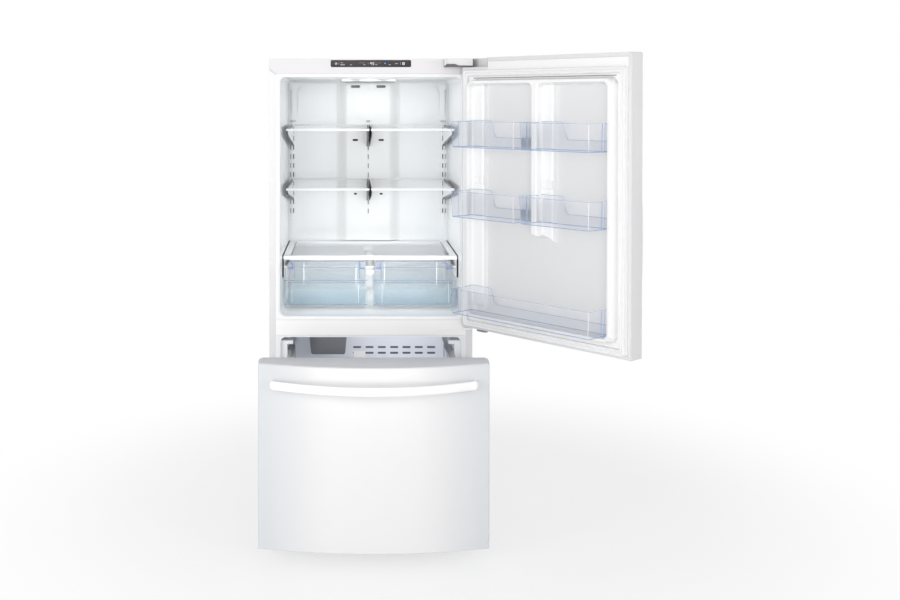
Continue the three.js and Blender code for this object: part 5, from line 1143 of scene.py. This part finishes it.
def door_bin(name, x0, x1, low, tall, stands_for):
    """Bin from x0 at the handle end to x1 at the hinge end, with lines of thicker plastic along
    its rim, its foot and its upright corners, and a white line down the front corner at the handle
    end as a painted highlight."""
    def rim(x, y):
        """Height of the rim. Towards the back it rises by 2.5 mm at the hinge end, and falls by
        0.62 of the bin's height everywhere else."""
        behind = 1 - smooth((y - BIN_BACK - 4) / 12)
        high = smooth((x - (x1 - 116)) / 22)
        return low + tall + behind * (2.5 * high - 0.62 * tall * (1 - high))

    def loop_at(inset, lift):
        loop = rectangle(x0, x1, BIN_BACK, BIN_FRONT, 5, 6, 40, inset)
        return np.column_stack([loop, lift(loop[:, 0], loop[:, 1])])

    def upright(x, y, radius):
        """Line up a wall, leaning out with the flare."""
        lean = BIN_FLARE * np.linspace(1, 0, 6)
        away = np.sign(x - (x0 + x1) / 2)
        return swept(np.column_stack([x - away * lean, np.full(6, y) - lean * (y > 100),
                                      np.linspace(low + 2, low + tall - 1, 6)]),
                     radius, sides=6, up=(0, 1, 0))

    mesh_piece(name, cup(x0, x1, BIN_BACK, BIN_FRONT, low, rim, BIN_WALL, 5, BIN_FLARE), bin_clear,
               "door", (stands_for,), sharp=50)
    rim_loop = loop_at(BIN_WALL / 2, rim)
    foot_loop = loop_at(BIN_FLARE + 0.6, lambda x, y: np.full(x.shape, low + 1.2))
    for part, loop, radius, finish in (("rim", rim_loop, 1.0, bin_rim),
                                       ("foot", foot_loop, 1.5, bin_edge)):
        mesh_piece(f"{name}_{part}", swept(loop, radius, closed=True, sides=8), finish, "door",
                   ring=True, sharp=60)
    mesh_piece(f"{name}_posts",
               [upright(x1 - 1.2, BIN_FRONT - 1.2, 1.0), upright(x1 - 1.2, 74, 1.2),
                upright(x0 + 1.2, 44, 1.6), upright(x0 + 1.2, 30, 0.8)],
               bin_edge, "door", sharp=60)
    # The white line down the handle end's front corner is a painted highlight.
    mesh_piece(f"{name}_corner_glint", upright(x0 + 3, BIN_FRONT - 0.6, 1.6), bin_corner_glint, "door",
               sharp=60)


for row, low in (("upper", DOOR_TOP - 319.2), ("middle", DOOR_TOP - 566.2)):
    door_bin(f"bin_{row}_hinge", BIN_IN, BIN_HINGE, low, BIN_TALL, f"bin_{row}_hinge_side")
    door_bin(f"bin_{row}_handle", -BIN_OUT, -BIN_IN, low, BIN_TALL, f"bin_{row}_handle_side")
door_bin("bin_lower", -BIN_OUT, BIN_HINGE, DOOR_LOW + 71.8, BIN_TALL - 4, "bin_bottom")

# ---------------------------------------------------------------------------------------------
# Handles. Bowed aluminium bars with an oval section, painted in the same gloss white. Both ends
# turn back to the face and are screwed on from inside the door and drawer.
HANDLE_REACH, HANDLE_TALL, HANDLE_THICK, BEND = CASE_HALF - 46.5, 30, 17, 11
DRAWER_BAR_Z, DOOR_BAR_X, DOOR_BAR_Z = 574, -308, 1037
handle_white = white_coat("handle_white", "#f2f2f3", "#f7f7f8", 0.18, coat=0.6)


def handle_bar(foot, end, middle):
    """Bar along x. The y of its middle line goes in a parabola from end at the ends to middle;
    there it turns back on quarter circles to the foot in the face. The section is an oval made
    squarer: its cosine and sine are raised to the power 0.75."""
    x = np.linspace(-HANDLE_REACH + BEND, HANDLE_REACH - BEND, 41)
    arc = end + (middle - end) * (1 - (x / HANDLE_REACH) ** 2)
    turn = np.linspace(0, np.pi / 2, 7)[:-1]
    start = np.concatenate([[(-HANDLE_REACH, foot + 1), (-HANDLE_REACH, arc[0] + BEND + 1)],
                            np.column_stack([-HANDLE_REACH + BEND * (1 - np.cos(turn)),
                                             arc[0] + BEND * (1 - np.sin(turn))])])
    line = np.concatenate([start, np.column_stack([x, arc]), start[::-1] * [-1, 1]])
    path = np.column_stack([line, np.zeros(len(line))])
    offset = swept(path, 1.0, sides=24) - path[:, None]
    side = np.linalg.norm(offset[..., :2], axis=-1, keepdims=True)
    wide = offset * [1, 1, 0] / np.maximum(side, 1e-6) ** 0.25 * HANDLE_THICK / 2
    tall = np.sign(offset[..., 2:]) * np.abs(offset[..., 2:]) ** 0.75 * HANDLE_TALL / 2
    return path[:, None] + wide + tall * [0, 0, 1]


drawer_foot = face_y(HANDLE_REACH, CASE_HALF)
drawer_bar = handle_bar(drawer_foot, drawer_foot - 22 + HANDLE_THICK / 2,
                        face_y(0, CASE_HALF) - 75 + HANDLE_THICK / 2) + [0, 0, DRAWER_BAR_Z]
mesh_piece("drawer_handle_bar", drawer_bar, handle_white, "drawer",
           ("drawer_handle",), sharp=60)
door_foot = face_y(DOOR_BAR_X, DOOR_HALF)
door_bar = handle_bar(door_foot, door_foot - 22, door_foot - 64 + HANDLE_THICK / 2)
mesh_piece("door_handle_bar", door_bar[..., [2, 1, 0]] + [DOOR_BAR_X, 0, DOOR_BAR_Z],
           handle_white, "door", ("door_handle",), sharp=60)

# ---------------------------------------------------------------------------------------------
# Freezer drawer front. A bowed skin of painted steel like the door's, its face darkened towards
# both sides as painted shade, closed on top by a sloped grey cap with cut rear corners; the cap's
# grey is partly painted shade of its top face. A formed inner panel and a gasket are behind it.
DRAWER_LOW, DRAWER_TOP, CAP = 36, 646, 3.2
drawer_paint_side_shaded = Finish("drawer_paint_side_shaded")
# The face's colour darkens from the middle towards both sides: painted shade where the bow turns
# away from the light.
painted_side_shade = abs(drawer_paint_side_shaded.axis("X") - MIDDLE[0]).rise(0.12, 0.4)
drawer_cloud = drawer_paint_side_shaded.noise(CLOUD_SCALE, 2.0)
drawer_paint_side_shaded.shade(
    Base_Color=drawer_paint_side_shaded.blend(painted_side_shade, colour("#e3e2e2"), colour("#d0d3d7")),
    Roughness=drawer_cloud * 0.05 + 0.22, Coat_Weight=0.35, Coat_Roughness=0.06,
    Normal=drawer_paint_side_shaded.bump(drawer_paint_side_shaded.noise(PEEL_SCALE, 2.0), 0.00002, 0.5))


def drawer_top(y, drop=0.0):
    """Sloped upper face: it falls by a tenth of the way towards the front."""
    return DRAWER_TOP - drop + (np.asarray(y) + DOOR_GAP) * 0.105


mesh_piece("drawer_front_skin",
           front_shell(CASE_HALF, DRAWER_LOW, lambda y: drawer_top(y, CAP), edge=1.5),
           drawer_paint_side_shaded.material, "drawer", ("drawer_skin",),
           sharp=40)
mesh_piece("drawer_front_returns",
           returns([(-CASE_HALF + FOLD, CASE_HALF - FOLD, z)
                    for z in (DRAWER_LOW + 0.5, DRAWER_TOP - 18.5)]),
           case_white, "drawer")
# The cap's grey is partly its own colour and partly painted shade of the drawer's top face, which
# faces away from the light.
cap_grey_and_shade = white_coat("drawer_cap_grey_and_shade", "#cbccd0", "#d1d2d6", 0.4, coat=0.1)


def cap_plan(inset):
    """Plan of the cap: the bowed front drawn in, with its rear corners cut off."""
    x = np.linspace(-CASE_HALF + inset, CASE_HALF - inset, 49)
    rear = -DOOR_GAP - inset
    return np.concatenate([np.column_stack([x, face_y(x, CASE_HALF) + inset]),
                           [(CASE_HALF - inset, rear - 24), (CASE_HALF - inset - 9, rear),
                            (-CASE_HALF + inset + 9, rear), (-CASE_HALF + inset, rear - 24)]])


cap_rows = [(cap_plan(inset), drawer_top(cap_plan(inset)[:, 1], drop))
            for inset, drop in ((0.6, CAP - 0.1), (0.1, CAP - 0.5), (0.1, 1.2), (0.5, 0.35),
                                (1.3, 0.0))]
mesh_piece("drawer_top_cap", stacked(cap_rows, "xy"), cap_grey_and_shade, "drawer", sharp=30)
dress(door_white, "drawer_liner")
mesh_piece("drawer_gasket_bellows", gasket_ring(DRAWER_LOW + 24, DRAWER_TOP - 6),
           gasket_white.material, "drawer", ("drawer_gasket",), ring=True,
           sharp=60)
dress(shelf_white, "drawer_basket")

# ---------------------------------------------------------------------------------------------
# Stage: a pale glossy floor and a white room, three soft lamps, small unseen ones that even out
# the light inside, and the camera. Rays that the camera sends see the room as plain white, and
# the floor mostly so, wholly at a distance.
scene = bpy.context.scene
scene.view_settings.view_transform = "Standard"
floor_mesh = bpy.data.meshes.new("floor")
floor_mesh.from_pydata([(-12, -12, 0), (12, -12, 0), (12, 12, 0), (-12, 12, 0)], [],
                       [(0, 1, 2, 3)])
floor = bpy.data.objects.new("floor", floor_mesh)
scene.collection.objects.link(floor)
pale = Finish("pale_floor")
pale.shade(Base_Color=pale.blend(pale.noise(5.0), colour("#f1f1f1"), colour("#f4f4f4")),
           Roughness=0.22)
seen = pale.node("ShaderNodeLightPath", output="Is Camera Ray")
away = pale.node("ShaderNodeVectorMath", {"operation": "LENGTH"}, [pale.place()], 1)
white = pale.node("ShaderNodeEmission", {}, {"Color": WHITE, "Strength": 1.0})
pale.put(pale.tree.nodes["Material Output"].inputs["Surface"],
         pale.node("ShaderNodeMixShader", {},
                   [seen * (away.rise(0.7, 1.9) * 0.35 + 0.65),
                    Value(pale, pale.shader.outputs[0]), white]))
floor_mesh.materials.append(pale.material)

world = bpy.data.worlds.new("studio")
scene.world = world
world.use_nodes = True
tree = world.node_tree
room = tree.nodes["Background"]
room.inputs["Color"].default_value = WHITE
room.inputs["Strength"].default_value = 0.48
backdrop = tree.nodes.new("ShaderNodeBackground")
backdrop.inputs["Color"].default_value = WHITE
path = tree.nodes.new("ShaderNodeLightPath")
choose = tree.nodes.new("ShaderNodeMixShader")
either = path.outputs["Is Camera Ray"]
for kind in ("Is Glossy Ray", "Is Transmission Ray"):
    larger = tree.nodes.new("ShaderNodeMath")
    larger.operation = "MAXIMUM"
    tree.links.new(either, larger.inputs[0])
    tree.links.new(path.outputs[kind], larger.inputs[1])
    either = larger.outputs[0]
tree.links.new(either, choose.inputs[0])
tree.links.new(room.outputs[0], choose.inputs[1])
tree.links.new(backdrop.outputs[0], choose.inputs[2])
tree.links.new(choose.outputs[0], tree.nodes["World Output"].inputs[0])


def aimed_lamp(name, place, aim, size, power, unseen=False):
    """Soft lamp at place that faces aim, both in metres from the case front's foot. It
    is tilted by the angle down from the vertical and turned to the aim about the upright."""
    way = np.array(aim, float) - np.array(place, float)
    holder = soft_lamp(name, size, power, unseen)
    holder.location = np.array(place) + MIDDLE
    holder.rotation_euler = (math.atan2(math.hypot(way[0], way[1]), -way[2]), 0,
                             math.atan2(way[1], way[0]) - math.pi / 2)


aimed_lamp("front_lamp", (-0.1, -5.2, 1.5), (0, 0, 0.9), (3.2, 2.8), 74)
aimed_lamp("left_lamp", (-3.6, -3.4, 1.7), (0.3, -0.3, 1.0), (1.8, 2.4), 76)
aimed_lamp("right_lamp", (3.4, -3.8, 1.7), (0.6, -0.4, 1.0), (1.2, 2.2), 42)
aimed_lamp("fridge_fill", (0, -0.002, 1.16), (0, 0.6, 1.16), (0.6, 0.8), 0.12, unseen=True)
aimed_lamp("ceiling_fill", (0, 0.28, 1.42), (0, 0.28, 1.6), (0.5, 0.4), 0.24, unseen=True)
aimed_lamp("crisper_fill", (0, 0.03, 0.81), (0, 0.6, 0.8), (0.6, 0.15), 0.3, unseen=True)
aimed_lamp("crisper_rear_fill", (0, 0.42, 0.878), (0, 0.5, 0.7), (0.56, 0.05), 0.55, unseen=True)
aimed_lamp("shelf_fill", (0, 0.36, 1.12), (0, 0.361, 0.7), (0.5, 0.4), 0.55, unseen=True)
aimed_lamp("freezer_fill", (0, 0.3, 0.6), (0, 0.545, 0.45), (0.56, 0.05), 0.85, unseen=True)

camera = bpy.data.cameras.new("camera")
camera.sensor_width = 36
camera.lens = 46.34
camera.shift_x = 0.1117
camera.shift_y = -0.2010
camera_holder = bpy.data.objects.new("camera", camera)
scene.collection.objects.link(camera_holder)
camera_holder.location = in_cabinet([-78.9, -4267.9, 1488.4])
camera_holder.rotation_euler = (math.radians(89.104), 0, 0)
scene.camera = camera_holder
